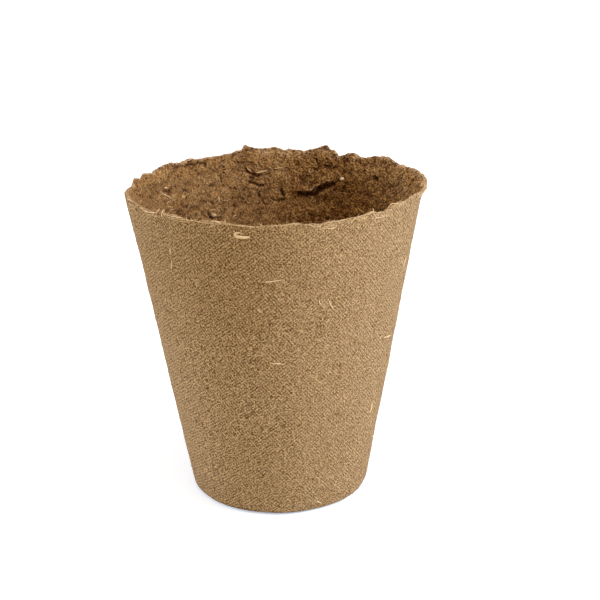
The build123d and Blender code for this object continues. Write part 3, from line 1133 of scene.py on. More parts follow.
@dataclass
class FeltRelief:
    """Swell, lumps and creases of the felt, and the wavering of its torn edge."""

    finishes: dict[Face, bpy.types.Material]
    swell: float = 0.16 * MM  # slow swell of the outside
    swell_size: float = 13.0 * MM
    pimple: float = 0.025 * MM  # quick unevenness of the outside
    pimple_size: float = 2.2 * MM
    lump: float = 0.16 * MM  # lumps of the inside
    lump_size: float = 5.0 * MM
    crease: float = 0.35 * MM  # creases of the inside
    crease_size: float = 5.0 * MM
    grit: float = 0.12 * MM  # quick unevenness of the inside
    grit_size: float = 1.6 * MM
    crumbs: float = 2.3  # how much taller the grit is towards +X
    waver: float = 0.35 * MM  # how far the torn edge bends in and out
    waver_size: float = 7.0 * MM

    NAMES: ClassVar[tuple[str, ...]] = ("swell", "pimple", "lump", "crease", "grit", "waver")
    FLATTEN: ClassVar[tuple[float, float, float]] = (1.0, 1.0, 1.6)  # lumps lie along the level
    RIDGE: ClassVar[float] = 0.045  # how near the noise's middle a crease is
    PATCH: ClassVar[float] = 0.6  # noise for each crease's size that breaks creases up
    SMOOTH: ClassVar[float] = 0.35
    HOLLOW: ClassVar[tuple[float, float]] = (-0.02 * MM, -0.5 * MM)  # depths at which the painted shade of the hollows starts and is full

    def tree(self) -> bpy.types.NodeTree:
        """Build the tree, which ends by giving each face its finish."""
        inputs = {name.capitalize() + end: NUMBER for name in self.NAMES for end in ("", " size")}
        inputs |= {"Crumbs": NUMBER} | {face.name: MATERIAL for face in Face}
        tree, graph, given = new_tree("Felt relief", inputs)
        place = graph.node("GeometryNodeInputPosition").outputs[0]
        level = graph.vector("MULTIPLY", place, self.FLATTEN)

        def scale(name: str) -> Socket:
            """Noise for each metre that gives the named size."""
            return graph.math("DIVIDE", 1.0, given[name + " size"])

        def bumps(name: str, detail: float) -> Socket:
            """Noise about zero, with its height and size from the named inputs."""
            value = graph.noise(place, scale(name), detail).outputs[0]
            return graph.math("MULTIPLY", graph.ramp(value, 0.2, 0.8, -1.0, 1.0), given[name])

        outside = graph.math("ADD", bumps("Swell", 2.0), bumps("Pimple", 2.0))
        cells = graph.node("ShaderNodeTexVoronoi", feature="SMOOTH_F1")
        for key, value in {"Vector": level, "Scale": scale("Lump"), "Smoothness": self.SMOOTH}.items():
            graph.feed(cells.inputs, key, value)
        lumps = graph.ramp(cells.outputs["Distance"], 0.15, 0.8, 1.0, -1.0)
        lumps = graph.math("MULTIPLY", lumps, given["Lump"])
        wrinkled = graph.noise(level, scale("Crease"), 3.0, 0.55).outputs[0]
        away = graph.math("ABSOLUTE", graph.math("SUBTRACT", wrinkled, 0.5))
        patch = graph.noise(place, graph.math("MULTIPLY", scale("Crease"), self.PATCH), 2.0).outputs[0]
        depth = graph.math("MULTIPLY", given["Crease"], graph.ramp(patch, 0.42, 0.62))
        creases = graph.math("MULTIPLY", graph.ramp(away, self.RIDGE, 0.0), depth)
        sunken = graph.math("ADD", creases, graph.stored("crevice"))
        grit = graph.math("MULTIPLY", bumps("Grit", 4.0), graph.ramp(patch, 0.35, 0.65, 1.5, 0.6))
        along, _, _ = graph.split(place)
        crumbs = graph.ramp(along, *FeltFinish.CRUMBLY, 1.0, given["Crumbs"])
        grit = graph.math("MULTIPLY", grit, crumbs)
        within = graph.math("SUBTRACT", graph.math("ADD", lumps, grit), sunken)

        total = graph.between(graph.stored("inside"), outside, within)
        pressed = graph.math("MULTIPLY", graph.math("ABSOLUTE", total), -0.5)
        total = graph.between(graph.stored("press"), total, pressed)
        offset = graph.scaled(graph.stored("push", "FLOAT_VECTOR"), total)
        spoke = graph.vector("NORMALIZE", graph.vector("MULTIPLY", place, (1.0, 1.0, 0.0)))
        bent = graph.math("MULTIPLY", bumps("Waver", 2.0), graph.stored("torn"))
        offset = graph.vector("ADD", offset, graph.scaled(spoke, bent))
        moved = graph.node("GeometryNodeSetPosition", {"Geometry": given["Geometry"], "Offset": offset})
        # Painted shade: how far each point of the inside lies sunk in a hollow, kept as hollow for the
        # finish to darken
        painted_hollow_shade = graph.math("MULTIPLY", graph.ramp(within, *self.HOLLOW), graph.stored("inside"))
        kept = graph.keep(moved.outputs[0], "hollow", painted_hollow_shade, "POINT")
        felt = graph.node("GeometryNodeRealizeInstances", {"Geometry": kept}).outputs[0]
        for face in Face:
            chosen = graph.equal(graph.stored("face_kind", "INT"), face.value)
            feeds = {"Geometry": felt, "Selection": chosen, "Material": given[face.name]}
            felt = graph.node("GeometryNodeSetMaterial", feeds).outputs[0]
        graph.node("NodeGroupOutput", {"Geometry": felt})
        return tree

    def values(self) -> dict[str, Any]:
        """Values for the tree's inputs."""
        values: dict[str, Any] = {face.name: self.finishes[face] for face in Face}
        values["Crumbs"] = self.crumbs
        for name in self.NAMES:
            values[name.capitalize()] = getattr(self, name)
            values[name.capitalize() + " size"] = getattr(self, name + "_size")
        return values

    def give(self, pieces: list[bpy.types.Object]) -> None:
        """Give pieces of felt their relief.

        Args:
            pieces: The pieces, as felt_piece makes them.
        """
        tree = self.tree()
        for piece in pieces:
            grown(piece, tree, self.values())


@dataclass
class FeltCup:
    """The pressed cup: its side, its base and its torn deckle."""

    shape: CupShape
    columns: int = 720
    tear_columns: int = 1440
    seen: float = 62.0 * MM  # the inside has closer rows above this height
    edge: float = 1.0 * MM  # felt at the tear
    edge_crown: float = 0.45  # height of the rounded edge as a share of its felt
    ragged: float = 0.22 * MM  # raggedness of the tear
    ragged_size: float = 2.3 * MM
    shred: float = 0.14 * MM  # its finest raggedness
    shred_size: float = 0.7 * MM
    roll: float = 1.5 * MM  # how far the tear rolls outward on one side
    roll_drop: float = 0.3 * MM  # how far it sinks there
    band_size: float = 9.0 * MM  # drift of the pale band under the tear
    crest_size: float = 2.6 * MM  # drift of the pale line along it

    # Azimuth and spread in degrees, and how much
    ROLLED: ClassVar[Swells] = ((11.0, 26.0, 1.0),)
    PALE: ClassVar[Swells] = ((87.0, 11.0, 0.85), (65.0, 8.0, 0.6))
    DULL: ClassVar[Swells] = ((160.0, 30.0, 1.0), (222.0, 22.0, 0.7))

    # Tufts and nicks of the tear: azimuth and spread in degrees, and height in millimetres
    TUFTS: ClassVar[Swells] = (
        (357.0, 6.0, -0.9),
        (32.0, 3.5, -0.45),
        (39.5, 4.0, 0.4),
        (51.0, 1.5, -0.4),
        (57.0, 1.2, 0.3),
        (63.5, 1.5, 0.4),
        (67.7, 1.2, 0.65),
        (85.7, 1.2, -0.65),
        (90.0, 1.2, 0.35),
        (103.0, 0.8, 0.45),
        (106.6, 2.0, 0.4),
        (120.0, 1.5, 0.5),
        (158.0, 1.2, 0.7),
        (160.8, 1.0, -0.5),
        (166.2, 1.2, 0.7),
    )

    @property
    def outward(self) -> tuple[float, float]:
        """Direction square to the outside face."""
        return math.cos(self.shape.lean), -math.sin(self.shape.lean)

    @property
    def inward(self) -> tuple[float, float]:
        """Direction square to the inside face."""
        return -math.cos(self.shape.lean), math.sin(self.shape.lean)

    def side(self) -> bpy.types.Object:
        """Build the side between the base and the deckle, with closer rows high up inside."""
        shape, ring = self.shape, FeltRing(self.columns)
        low, high = shape.base_top, shape.wall_top
        outside = np.linspace(low, high, 45)
        inside = np.concatenate([np.linspace(high, self.seen, 66), np.linspace(self.seen, low, 27)[1:]])
        for z in outside:
            ring.row(shape.outer(z), z, self.outward, Face.SIDE, sharp=z in (low, high))
        for z in inside:
            sharp = z in (inside[0], inside[-1])
            ring.row(shape.inner(z), z, self.inward, Face.HOLLOW, inside=1.0, sharp=sharp)
        return ring.piece("side_felt")

    def base(self) -> bpy.types.Object:
        """Build the floor with its drain hole, the heel and the foot of the side."""
        shape, ring = self.shape, FeltRing(self.columns)
        heel = shape.fillet(shape.heel_flat, shape.foot_radius)
        corner = shape.fillet(shape.floor_flat, shape.inner(shape.floor))
        lip = shape.floor / 4
        for r in np.linspace(shape.drain_radius, shape.heel_flat, 14)[:-1]:
            ring.row(r, 0.0, (0.0, -1.0), Face.FOOT, press=1.0)
        for t in np.linspace(-math.pi / 2, -shape.lean, 10):
            r, z = shape.heel_flat + heel * math.cos(t), heel + heel * math.sin(t)
            face = Face.SIDE if t > -1.2 else Face.FOOT
            ring.row(r, z, (math.cos(t), math.sin(t)), face, press=math.sin(t) ** 4)
        for z in np.linspace(heel - heel * math.sin(shape.lean), shape.base_top, 6)[1:]:
            ring.row(shape.outer(z), z, self.outward, Face.SIDE, sharp=z == shape.base_top)
        end = shape.floor + corner - corner * math.sin(shape.lean)
        for z in np.linspace(shape.base_top, end, 4)[:-1]:
            ring.row(shape.inner(z), z, self.inward, Face.HOLLOW, inside=1.0, sharp=z == shape.base_top)
        for t in np.linspace(-shape.lean, -math.pi / 2, 10):
            r, z = shape.floor_flat + corner * math.cos(t), shape.floor + corner + corner * math.sin(t)
            face = Face.HOLLOW if t > -1.0 else Face.FLOOR
            ring.row(r, z, (-math.cos(t), -math.sin(t)), face, inside=1.0)
        for r in np.linspace(shape.floor_flat, shape.drain_radius + lip, 22)[1:]:
            ring.row(r, shape.floor, (0.0, 1.0), Face.FLOOR, inside=1.0)
        for t in np.linspace(math.pi / 2, math.pi, 5)[1:]:
            r, z = shape.drain_radius + lip + lip * math.cos(t), shape.floor - lip + lip * math.sin(t)
            ring.row(r, z, (math.cos(t) / 2, math.sin(t) / 2), Face.FLOOR, inside=1.0, torn=0.5)
        for z in np.linspace(shape.floor - lip, 0.0, 5)[1:-1]:
            ring.row(shape.drain_radius, z, (-0.5, 0.0), Face.FLOOR, inside=1.0, torn=0.5)
        return ring.piece("base_felt")

    def tear_line(self, azimuths: np.ndarray) -> np.ndarray:
        """Height of the ragged tear: the solids' tear with torn felt's raggedness on it.

        Args:
            azimuths: Azimuths in radians.

        Returns:
            The heights.
        """
        heights = self.shape.tear(azimuths) + swells(np.degrees(azimuths), self.TUFTS) * MM
        radius = self.shape.outer(self.shape.wall_top)
        rags = ((self.ragged, self.ragged_size, 0.0), (self.shred, self.shred_size, 9.0))
        for depth, size, level in rags:
            places = around(radius / size, azimuths, level)
            rag = np.array([noise.fractal(Vector(p), 1.0, 2.0, 3) for p in places])
            heights = heights + depth * rag
        return heights

    def deckle(self) -> bpy.types.Object:
        """Build the thinning edge above the side, up to the ragged tear."""
        shape, ring = self.shape, FeltRing(self.tear_columns)

        def drift(size: float, level: float) -> np.ndarray:
            """Noise about zero along the tear, of a size and at a level of its own."""
            places = around(shape.outer(shape.wall_top) / size, ring.azimuths, level)
            return np.array([noise.noise(Vector(p)) for p in places])

        edge = self.edge * (1.0 + 0.35 * drift(self.ragged_size, 21.0))
        crown = self.edge_crown * edge
        degrees = np.degrees(ring.azimuths)
        rolled, pale, dull = (swells(degrees, rows) for rows in (self.ROLLED, self.PALE, self.DULL))
        low, top = shape.wall_top, self.tear_line(ring.azimuths) - crown - self.roll_drop * rolled
        # Where the edge rolls outward, its torn colour runs wider and paler: partly torn fibre, partly
        # painted highlight where the rolled face turns up to the lamps.
        fringe = 0.10 + 0.12 * rolled + 0.7 * pale
        band = np.clip(0.84 + 0.35 * drift(self.band_size, 33.0), 0.66, 0.95)
        crest = 0.55 + 0.9 * drift(self.crest_size, 45.0) + 0.35 * rolled - 0.15 * pale - 0.4 * dull
        crest = np.clip(crest, 0.12, 1.0)
        for share in np.linspace(0.0, 1.0, 14):
            z = low + (top - low) * share
            torn = 0.8 * crest * np.clip((share - band) / (1 - band), 0.0, 1.0) ** 1.5
            r = shape.outer(z) + self.roll * rolled * share**2
            ring.row(r, z, self.outward, Face.SIDE, torn=torn, sharp=share == 0.0)
        for t in np.linspace(0.0, math.pi, 8)[1:-1]:
            r = shape.outer(top) + self.roll * rolled - edge / 2 + edge / 2 * math.cos(t)
            face = Face.SIDE if t < math.pi / 3 else Face.HOLLOW
            push = (math.cos(t), math.sin(t))
            ring.row(r, top + crown * math.sin(t), push, face, inside=0.5, torn=crest)
        for share in np.linspace(1.0, 0.0, 18):
            z = low + (top - low) * share
            felt = shape.wall_across + (edge - shape.wall_across) * share**1.5
            # rolled widens the pale band here: partly painted highlight
            torn = np.clip((share - 1 + fringe) / fringe, 0.0, 1.0)
            torn = crest * torn ** (1.5 - 0.8 * rolled - pale)
            r = shape.outer(z) + self.roll * rolled * share**2 - felt
            ring.row(r, z, self.inward, Face.HOLLOW, inside=1.0, torn=torn, sharp=share == 0.0)
        for row in (ring.points[0], ring.points[-1]):
            row[1::2] = (row[::2] + np.roll(row[::2], -1, axis=0)) / 2
        return ring.piece("deckle_felt")

    def build(self) -> dict[str, bpy.types.Object]:
        """Build the three pieces of the cup, by the CAD node that each stands for."""
        return {"side_wall": self.side(), "base": self.base(), "rim_deckle": self.deckle()}

    def edge_points(self, deckle: bpy.types.Object) -> np.ndarray:
        """Highest point of the finished deckle in each column.

        Args:
            deckle: The deckle's piece, with its relief.

        Returns:
            The points, in order round the pot.
        """
        points = np.array([v.co for v in deckle.data.vertices]).reshape(-1, self.tear_columns, 3)
        return points[points[:, :, 2].argmax(axis=0), np.arange(self.tear_columns)]


@dataclass
class FoldedFlap:
    """Lip of felt that leaves the inside face and overhangs a dark crevice."""

    shape: CupShape
    columns: int = 64
    bury: float = 0.7 * MM  # how deep its root lies in the side
    swelling: float = 0.35  # bulge of its upper face, as a share of its reach
    rise: float = 1.3 * MM  # how far the lip is above the solid's
    limp: float = 0.3  # share of the felt's relief that it has
    dent: Crevice = Crevice(0.7, 0.55, ((77.2, 77.6), (74.0, 77.1), (70.6, 77.6)))  # over the lip
    lip_highlight: Crevice = Crevice(0.7, 0.6, ((78.5, 75.5), (75.0, 75.2), (71.6, 75.8)))  # along the lip, painted highlight given the torn edge's colour

    FULL: ClassVar[int] = 10  # corners of a whole section, where others have a few

    def outline(self) -> tuple[np.ndarray, np.ndarray, np.ndarray, np.ndarray]:
        """Azimuths of the solid's sections, with the root's top, the lip's height and its reach."""
        points = node_points("folded_flap")
        turns = np.round(np.arctan2(points[:, 1], points[:, 0]), 3)
        azimuths, tops, lips, reaches = [], [], [], []
        for turn in sorted(set(turns)):
            section = points[turns == turn]
            if len(section) < self.FULL:
                continue
            radius = np.hypot(section[:, 0], section[:, 1])
            low = section[:, 2].min()
            azimuths.append(turn)
            tops.append(section[:, 2].max())
            lips.append(low)
            reaches.append(self.shape.inner(low) - radius.min())
        return tuple(np.array(x) for x in (azimuths, tops, lips, reaches))

    def build(self) -> bpy.types.Object:
        """Build the flap as a skin over sections that swell and shrink along it."""
        azimuths, tops, lips, reaches = self.outline()
        spread = (azimuths[-1] - azimuths[0]) * 0.08
        turns = np.linspace(azimuths[0] - spread, azimuths[-1] + spread, self.columns)
        fade = np.sin(np.linspace(0.0, math.pi, self.columns)) ** 0.5
        rings, pushes = [], []
        for turn, full in zip(turns, fade):
            top, lip, reach = (np.interp(turn, azimuths, values) for values in (tops, lips, reaches))
            lip = lip + self.rise * full
            reach = max(reach * full, 0.02 * MM)
            tall = top - lip
            section = [(-self.bury, top + 0.25 * tall)]
            for t in np.linspace(0.0, 1.0, 14)[1:]:
                out = reach * (t + self.swelling * math.sin(math.pi * t))
                section.append((out, top - tall * t**1.6))
            section += [(reach * 0.8, lip - 0.2 * MM), (reach * 0.5, lip - 0.05 * MM)]
            section += [(reach * 0.2, lip + 0.3 * tall), (-self.bury, lip + 0.45 * tall)]
            section += [(-self.bury, top)]
            rings.append([around(self.shape.inner(z) - out, turn, z) for out, z in section])
            pushes.append([around(-self.limp if out > 0 else 0.0, turn, 0.0) for out, _ in section])
        points, faces = tube(np.array(rings))
        flat_pushes = np.array(pushes).reshape(-1, 3)
        flat_pushes = np.concatenate([flat_pushes, np.zeros((2, 3))])
        ones = np.ones(len(points))
        places = Crevice.unrolled(points)
        dent, lip_highlight = self.dent.at(places), self.lip_highlight.at(places) / MM
        # painted highlight along the lip, carried by the torn mark
        marks = {"inside": ones, "torn": lip_highlight, "press": 0 * ones, "crevice": dent}
        kinds = np.full(len(faces), Face.HOLLOW.value)
        return felt_piece("flap_felt", points, faces, flat_pushes, marks, kinds)


@dataclass(frozen=True)
class Bit:
    """One loose solid of a node: where it sits, how it lies and its size."""

    seat: np.ndarray
    along: np.ndarray
    off: np.ndarray
    size: np.ndarray


@dataclass
class LaidBits:
    """Bits of wood or bark at the places of a node's solids, laid on the finished felt."""

    shape: CupShape
    node: str
    name: str
    slot: str  # a material slot's name, passed on to hand_over
    form: BitForm
    finish: bpy.types.Material
    slim: tuple[float, float, float] = (1.0, 0.75, 1.0)  # of the solid's length, width and height
    sink: float = 0.02 * MM
    wander: float = 0.3 * MM
    wander_size: float = 2.0 * MM
    seed: int = 1

    REACH: ClassVar[float] = 3.0 * MM  # how far from the felt a bit is sought

    def solids(self) -> list[np.ndarray]:
        """Corners of each loose solid of the node."""
        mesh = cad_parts[self.node].data
        points = node_points(self.node)
        spots, index = np.unique(np.round(points / (CupShape.HAIR / 10)), axis=0, return_inverse=True)
        index = index.ravel()
        groups = np.arange(len(spots))
        corners = np.array([[index[v] for v in f.vertices] for f in mesh.polygons])
        while True:
            lowest = groups[corners].min(axis=1)
            before = groups.copy()
            for column in corners.T:
                np.minimum.at(groups, column, lowest)
            if (groups == before).all():
                break
        return [spots[groups == g] * CupShape.HAIR / 10 for g in sorted(set(groups))]

    def bits(self) -> list[Bit]:
        """Place, axes and size of each solid."""
        found = []
        for points in self.solids():
            middle = points.mean(axis=0)
            axes = np.linalg.svd(points - middle)[2]
            spans = (points - middle) @ axes.T
            low, high = spans.min(axis=0), spans.max(axis=0)
            centre = middle + ((low + high) / 2) @ axes
            along, off = axes[0], axes[2]
            radius = math.hypot(centre[0], centre[1])
            outside = radius > self.shape.outer(centre[2]) - self.shape.wall_across / 2
            if (off[:2] @ centre[:2] > 0) != outside:
                off = -off
            found.append(Bit(centre - off * (high - low)[2] / 2, along, off, high - low))
        return found

    def tree(self) -> bpy.types.NodeTree:
        """Tree that sets a bit on each point and lets it follow the felt under it."""
        title = "Laid bits"
        if title in bpy.data.node_groups:
            return bpy.data.node_groups[title]
        inputs = {"Bit": OBJECT, "Felt": OBJECT, "Finish": MATERIAL}
        inputs |= dict.fromkeys(("Sink", "Wander", "Wander size", "Reach"), NUMBER)
        tree, graph, given = new_tree(title, inputs)
        off = graph.stored("off", "FLOAT_VECTOR")
        turn = graph.turned(off, graph.stored("along", "FLOAT_VECTOR"), "ZX")
        feeds = {"Points": given["Geometry"], "Instance": graph.body(given["Bit"])}
        feeds |= {"Rotation": turn, "Scale": graph.stored("size", "FLOAT_VECTOR")}
        placed = graph.node("GeometryNodeInstanceOnPoints", feeds).outputs[0]
        bits = graph.node("GeometryNodeRealizeInstances", {"Geometry": placed}).outputs[0]
        place = graph.node("GeometryNodeInputPosition").outputs[0]
        scale = graph.math("DIVIDE", 1.0, given["Wander size"])
        place = graph.strayed(place, scale, given["Wander"], 2.0)
        _, _, tall = graph.split(graph.stored("size", "FLOAT_VECTOR"))
        rise = graph.math("SUBTRACT", graph.math("MULTIPLY", graph.stored("rise"), tall), given["Sink"])
        lifted = graph.scaled(off, rise)
        above = graph.vector("ADD", place, graph.scaled(off, given["Reach"]))
        feeds = {"Target Geometry": graph.body(given["Felt"]), "Source Position": above}
        length = graph.math("MULTIPLY", given["Reach"], 2.0)
        feeds |= {"Ray Direction": graph.scaled(off, -1.0), "Ray Length": length}
        ray = graph.node("GeometryNodeRaycast", feeds).outputs
        landed = graph.vector("ADD", ray["Hit Position"], lifted)
        feeds = {"Geometry": bits, "Selection": ray["Is Hit"], "Position": landed}
        laid = graph.node("GeometryNodeSetPosition", feeds).outputs[0]
        graph.finished(laid, given["Finish"])
        return tree

    def build(self, felt: bpy.types.Object) -> bpy.types.Object:
        """Build the bits on the felt.

        Args:
            felt: All the finished felt, as one mesh.

        Returns:
            The piece.
        """
        bits = self.bits()
        piece = new_piece(self.name, [bit.seat for bit in bits])
        store(piece, "along", "FLOAT_VECTOR", "POINT", np.array([bit.along for bit in bits]))
        store(piece, "off", "FLOAT_VECTOR", "POINT", np.array([bit.off for bit in bits]))
        store(piece, "size", "FLOAT_VECTOR", "POINT", np.array([bit.size * self.slim for bit in bits]))
        tints = np.random.default_rng(self.seed).uniform(0.4, 1.0, len(bits))
        store(piece, "tint", "FLOAT", "POINT", tints.astype(np.float32))
        master = BitMaster.made(self.form)
        values = {"Bit": master, "Felt": felt, "Sink": self.sink, "Wander": self.wander}
        values |= {"Wander size": self.wander_size, "Reach": self.REACH, "Finish": self.finish}
        grown(piece, self.tree(), values)
        bpy.data.objects.remove(master)
        return piece


@dataclass
class FeltHair:
    """Loose fibres scattered over one kind of the felt's faces."""

    name: str
    face: Face
    finish: bpy.types.Material
    density: float  # for each square metre
    lengths: tuple[float, float]
    widths: tuple[float, float]
    curl: float
    curl_size: float
    level: float  # how much longer they lie round the pot than up it
    seed: int = 1

    SIZES: ClassVar[tuple[str, ...]] = (
        "Density", "Shortest", "Longest", "Thinnest", "Thickest", "Curl", "Curl size", "Level"
    )

    def tree(self) -> bpy.types.NodeTree:
        """Tree that scatters bits over the chosen faces and bends each its own way."""
        title = "Felt hair"
        if title in bpy.data.node_groups:
            return bpy.data.node_groups[title]
        inputs = {"Hair": OBJECT, "Felt": OBJECT, "Face": COUNT, "Seed": COUNT, "Finish": MATERIAL}
        tree, graph, given = new_tree(title, inputs | dict.fromkeys(self.SIZES, NUMBER))
        chosen = graph.equal(graph.stored("face_kind", "INT"), given["Face"])
        feeds = {"Mesh": graph.body(given["Felt"]), "Selection": chosen}
        feeds |= {"Density": given["Density"], "Seed": given["Seed"]}
        spread = graph.node("GeometryNodeDistributePointsOnFaces", feeds).outputs
        seeds = [graph.math("ADD", given["Seed"], float(i)) for i in range(1, 5)]
        lie = graph.random((-1.0, -1.0, -1.0), (1.0, 1.0, 1.0), seeds[0], "FLOAT_VECTOR")
        x, y, z = graph.split(lie)
        lie = graph.joined(x, y, graph.math("DIVIDE", z, given["Level"]))
        turn = graph.turned(spread["Normal"], lie, "ZX")
        length = graph.random(given["Shortest"], given["Longest"], seeds[1])
        width = graph.random(given["Thinnest"], given["Thickest"], seeds[2])
        feeds = {"Points": spread["Points"], "Instance": graph.body(given["Hair"])}
        feeds |= {"Rotation": turn, "Scale": graph.joined(length, width, width)}
        placed = graph.node("GeometryNodeInstanceOnPoints", feeds).outputs[0]
        placed = graph.keep(placed, "tint", graph.random(0.0, 1.0, seeds[3]), "INSTANCE")
        hair = graph.node("GeometryNodeRealizeInstances", {"Geometry": placed}).outputs[0]
        graph.finished(graph.curled(hair, given["Curl"], given["Curl size"]), given["Finish"])
        return tree

    def build(self, felt: bpy.types.Object) -> bpy.types.Object:
        """Scatter the fibres on the felt.

        Args:
            felt: All the finished felt, as one mesh.

        Returns:
            The piece.
        """
        piece = new_piece(self.name)
        master = BitMaster.made(BitForm.STRAND)
        values = {"Hair": master, "Felt": felt, "Face": self.face.value, "Density": self.density}
        values |= {"Shortest": self.lengths[0], "Longest": self.lengths[1], "Level": self.level}
        values |= {"Thinnest": self.widths[0], "Thickest": self.widths[1], "Seed": self.seed}
        values |= {"Curl": self.curl, "Curl size": self.curl_size, "Finish": self.finish}
        grown(piece, self.tree(), values)
        bpy.data.objects.remove(master)
        return piece


@dataclass
class RimFray:
    """Fibres pulled out along the torn edge."""

    name: str
    finish: bpy.types.Material
    share: float  # of the edge's points that hold a fibre
    lengths: tuple[float, float]
    widths: tuple[float, float]
    tilt: float  # how far they stand up from the edge's line
    splay: float  # how far they stand out from it
    curl: float
    curl_size: float
    lift: tuple[float, float]  # how far out from the edge and up they lie
    seed: int = 1

    # Where the edge is frayed most or least: azimuth and spread in degrees, and how much more
    TUFTS: ClassVar[Swells] = (
        (212.0, 16.0, 2.4),
        (236.0, 9.0, 1.6),
        (291.0, 6.0, 1.6),
        (315.0, 6.0, 1.2),
        (327.0, 5.0, 1.2),
        (90.0, 60.0, -0.85),
    )
    SIZES: ClassVar[tuple[str, ...]] = (
        "Share", "Shortest", "Longest", "Thinnest", "Thickest", "Tilt", "Splay", "Curl", "Curl size"
    )

    def weight(self, azimuths: np.ndarray) -> np.ndarray:
        """How frayed the edge is at azimuths in degrees."""
        return 1.0 + swells(azimuths, self.TUFTS)

    def tree(self) -> bpy.types.NodeTree:
        """Tree that sets fibres on some of the edge's points and bends each its own way."""
        title = "Rim fray"
        if title in bpy.data.node_groups:
            return bpy.data.node_groups[title]
        inputs = {"Fibre": OBJECT, "Seed": COUNT, "Finish": MATERIAL}
        tree, graph, given = new_tree(title, inputs | dict.fromkeys(self.SIZES, NUMBER))
        seeds = [graph.math("ADD", given["Seed"], float(i)) for i in range(1, 8)]
        chance = graph.math("MULTIPLY", graph.stored("fray"), given["Share"])
        kept = graph.math("LESS_THAN", graph.random(0.0, 1.0, seeds[0]), chance)
        up = graph.random(graph.math("MULTIPLY", given["Tilt"], -0.4), given["Tilt"], seeds[1])
        out = graph.random(graph.math("MULTIPLY", given["Splay"], -1.0), given["Splay"], seeds[2])
        way = graph.math("SIGN", graph.random(-1.0, 1.0, seeds[3]))
        off = graph.stored("off", "FLOAT_VECTOR")
        lie = graph.scaled(graph.stored("along", "FLOAT_VECTOR"), way)
        lie = graph.vector("ADD", lie, graph.joined(0.0, 0.0, up))
        lie = graph.vector("ADD", lie, graph.scaled(off, out))
        turn = graph.turned(lie, off, "XZ")
        length = graph.random(given["Shortest"], given["Longest"], seeds[4])
        width = graph.random(given["Thinnest"], given["Thickest"], seeds[5])
        feeds = {"Points": given["Geometry"], "Selection": kept, "Instance": graph.body(given["Fibre"])}
        feeds |= {"Rotation": turn, "Scale": graph.joined(length, width, width)}
        placed = graph.node("GeometryNodeInstanceOnPoints", feeds).outputs[0]
        placed = graph.keep(placed, "tint", graph.random(0.0, 1.0, seeds[6]), "INSTANCE")
        fibres = graph.node("GeometryNodeRealizeInstances", {"Geometry": placed}).outputs[0]
        graph.finished(graph.curled(fibres, given["Curl"], given["Curl size"]), given["Finish"])
        return tree

    def build(self, edge: np.ndarray) -> bpy.types.Object:
        """Fray the edge.

        Args:
            edge: Points of the torn edge, in order round the pot.

        Returns:
            The piece.
        """
        along = np.roll(edge, -3, axis=0) - np.roll(edge, 3, axis=0)
        along /= np.linalg.norm(along, axis=1, keepdims=True)
        turns = np.arctan2(edge[:, 1], edge[:, 0])
        piece = new_piece(self.name, edge + around(self.lift[0], turns, self.lift[1]))
        store(piece, "along", "FLOAT_VECTOR", "POINT", along)
        store(piece, "off", "FLOAT_VECTOR", "POINT", around(1.0, turns, 0.0))
        store(piece, "fray", "FLOAT", "POINT", self.weight(np.degrees(turns)).astype(np.float32))
        master = BitMaster.made(BitForm.STRAND)
        values = {"Fibre": master, "Share": self.share, "Tilt": self.tilt, "Splay": self.splay}
        values |= {"Shortest": self.lengths[0], "Longest": self.lengths[1], "Seed": self.seed}
        values |= {"Thinnest": self.widths[0], "Thickest": self.widths[1], "Finish": self.finish}
        values |= {"Curl": self.curl, "Curl size": self.curl_size}
        grown(piece, self.tree(), values)
        bpy.data.objects.remove(master)
        return piece


@dataclass
class CurledShaving:
    """Shaving of wood that lies on the outside face and curls back over itself."""

    shape: CupShape
    finish: bpy.types.Material
    run: float = 3.0 * MM
    radius: float = 0.62 * MM
    width: float = 0.60 * MM
    tail: float = 1.2 * MM  # what runs on past the curl
    felt: float = 0.34 * MM  # thickness of the shaving
    shift: float = 0.45 * MM  # round the pot from the middle of its solid
    sides: int = 8

    def path(self) -> np.ndarray:
        """Points of its middle line on the face, from its free end."""
        straight = [(x, 0.02 * math.sin(9 * x)) for x in np.linspace(1.0, 0.1, 7)]
        points = [(x * self.run, y * self.run) for x, y in straight]
        for t in np.linspace(-math.pi / 2, -1.45 * math.pi, 12):
            points.append((self.radius * math.cos(t), self.radius + self.radius * math.sin(t)))
        x, y = points[-1]
        points += [(x + self.tail * s, y - 0.12 * self.tail * s) for s in (0.4, 0.75, 1.0)]
        return np.array(points)

    def build(self) -> bpy.types.Object:
        """Build the shaving as a flat ribbon along its path."""
        low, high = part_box("curled_shaving")
        middle = (low + high) / 2
        origin = Vector(((self.run - self.radius - self.width / 2) / 2 - self.shift, self.radius))
        path = self.path()
        steps = np.gradient(path, axis=0)
        steps /= np.linalg.norm(steps, axis=1, keepdims=True)
        across = np.stack([-steps[:, 1], steps[:, 0]], axis=-1)
        stations = np.linspace(0, 1, len(path))
        taper = np.interp(stations, (0, 0.08, 0.3, 0.55, 0.75, 1), (0.5, 1.2, 1.5, 1.1, 0.8, 0.3))
        rings = []
        for i, (point, side, share) in enumerate(zip(path, across, taper)):
            lift = 0.5 * self.felt + 0.25 * self.felt * math.sin(0.45 * i)
            ring = []
            for t in np.arange(self.sides) * TURN / self.sides:
                out = point - origin + side * (0.5 * self.width * share * math.cos(t))
                ring.append((out[0], out[1], lift + 0.5 * self.felt * share * math.sin(t)))
            rings.append(ring)
        points, faces = tube(np.array(rings))
        seat = self.shape.outside_frame(math.atan2(middle.y, middle.x), middle.z)
        piece = new_piece("shaving_curl", [seat @ Vector(p) for p in points], faces)
        store(piece, "tint", "FLOAT", "POINT", np.full(len(points), 0.5, np.float32))
        piece.data.materials.append(self.finish)
        piece.data.shade_smooth()
        return piece


@dataclass(frozen=True)
class Strand:
    """A loose strand that lies on the felt or stands off its edge."""

    width: float  # millimetres, as is the lift off the felt
    lift: float
    path: tuple[tuple[float, float], ...]  # azimuths in degrees and heights in millimetres
    inside: bool = False


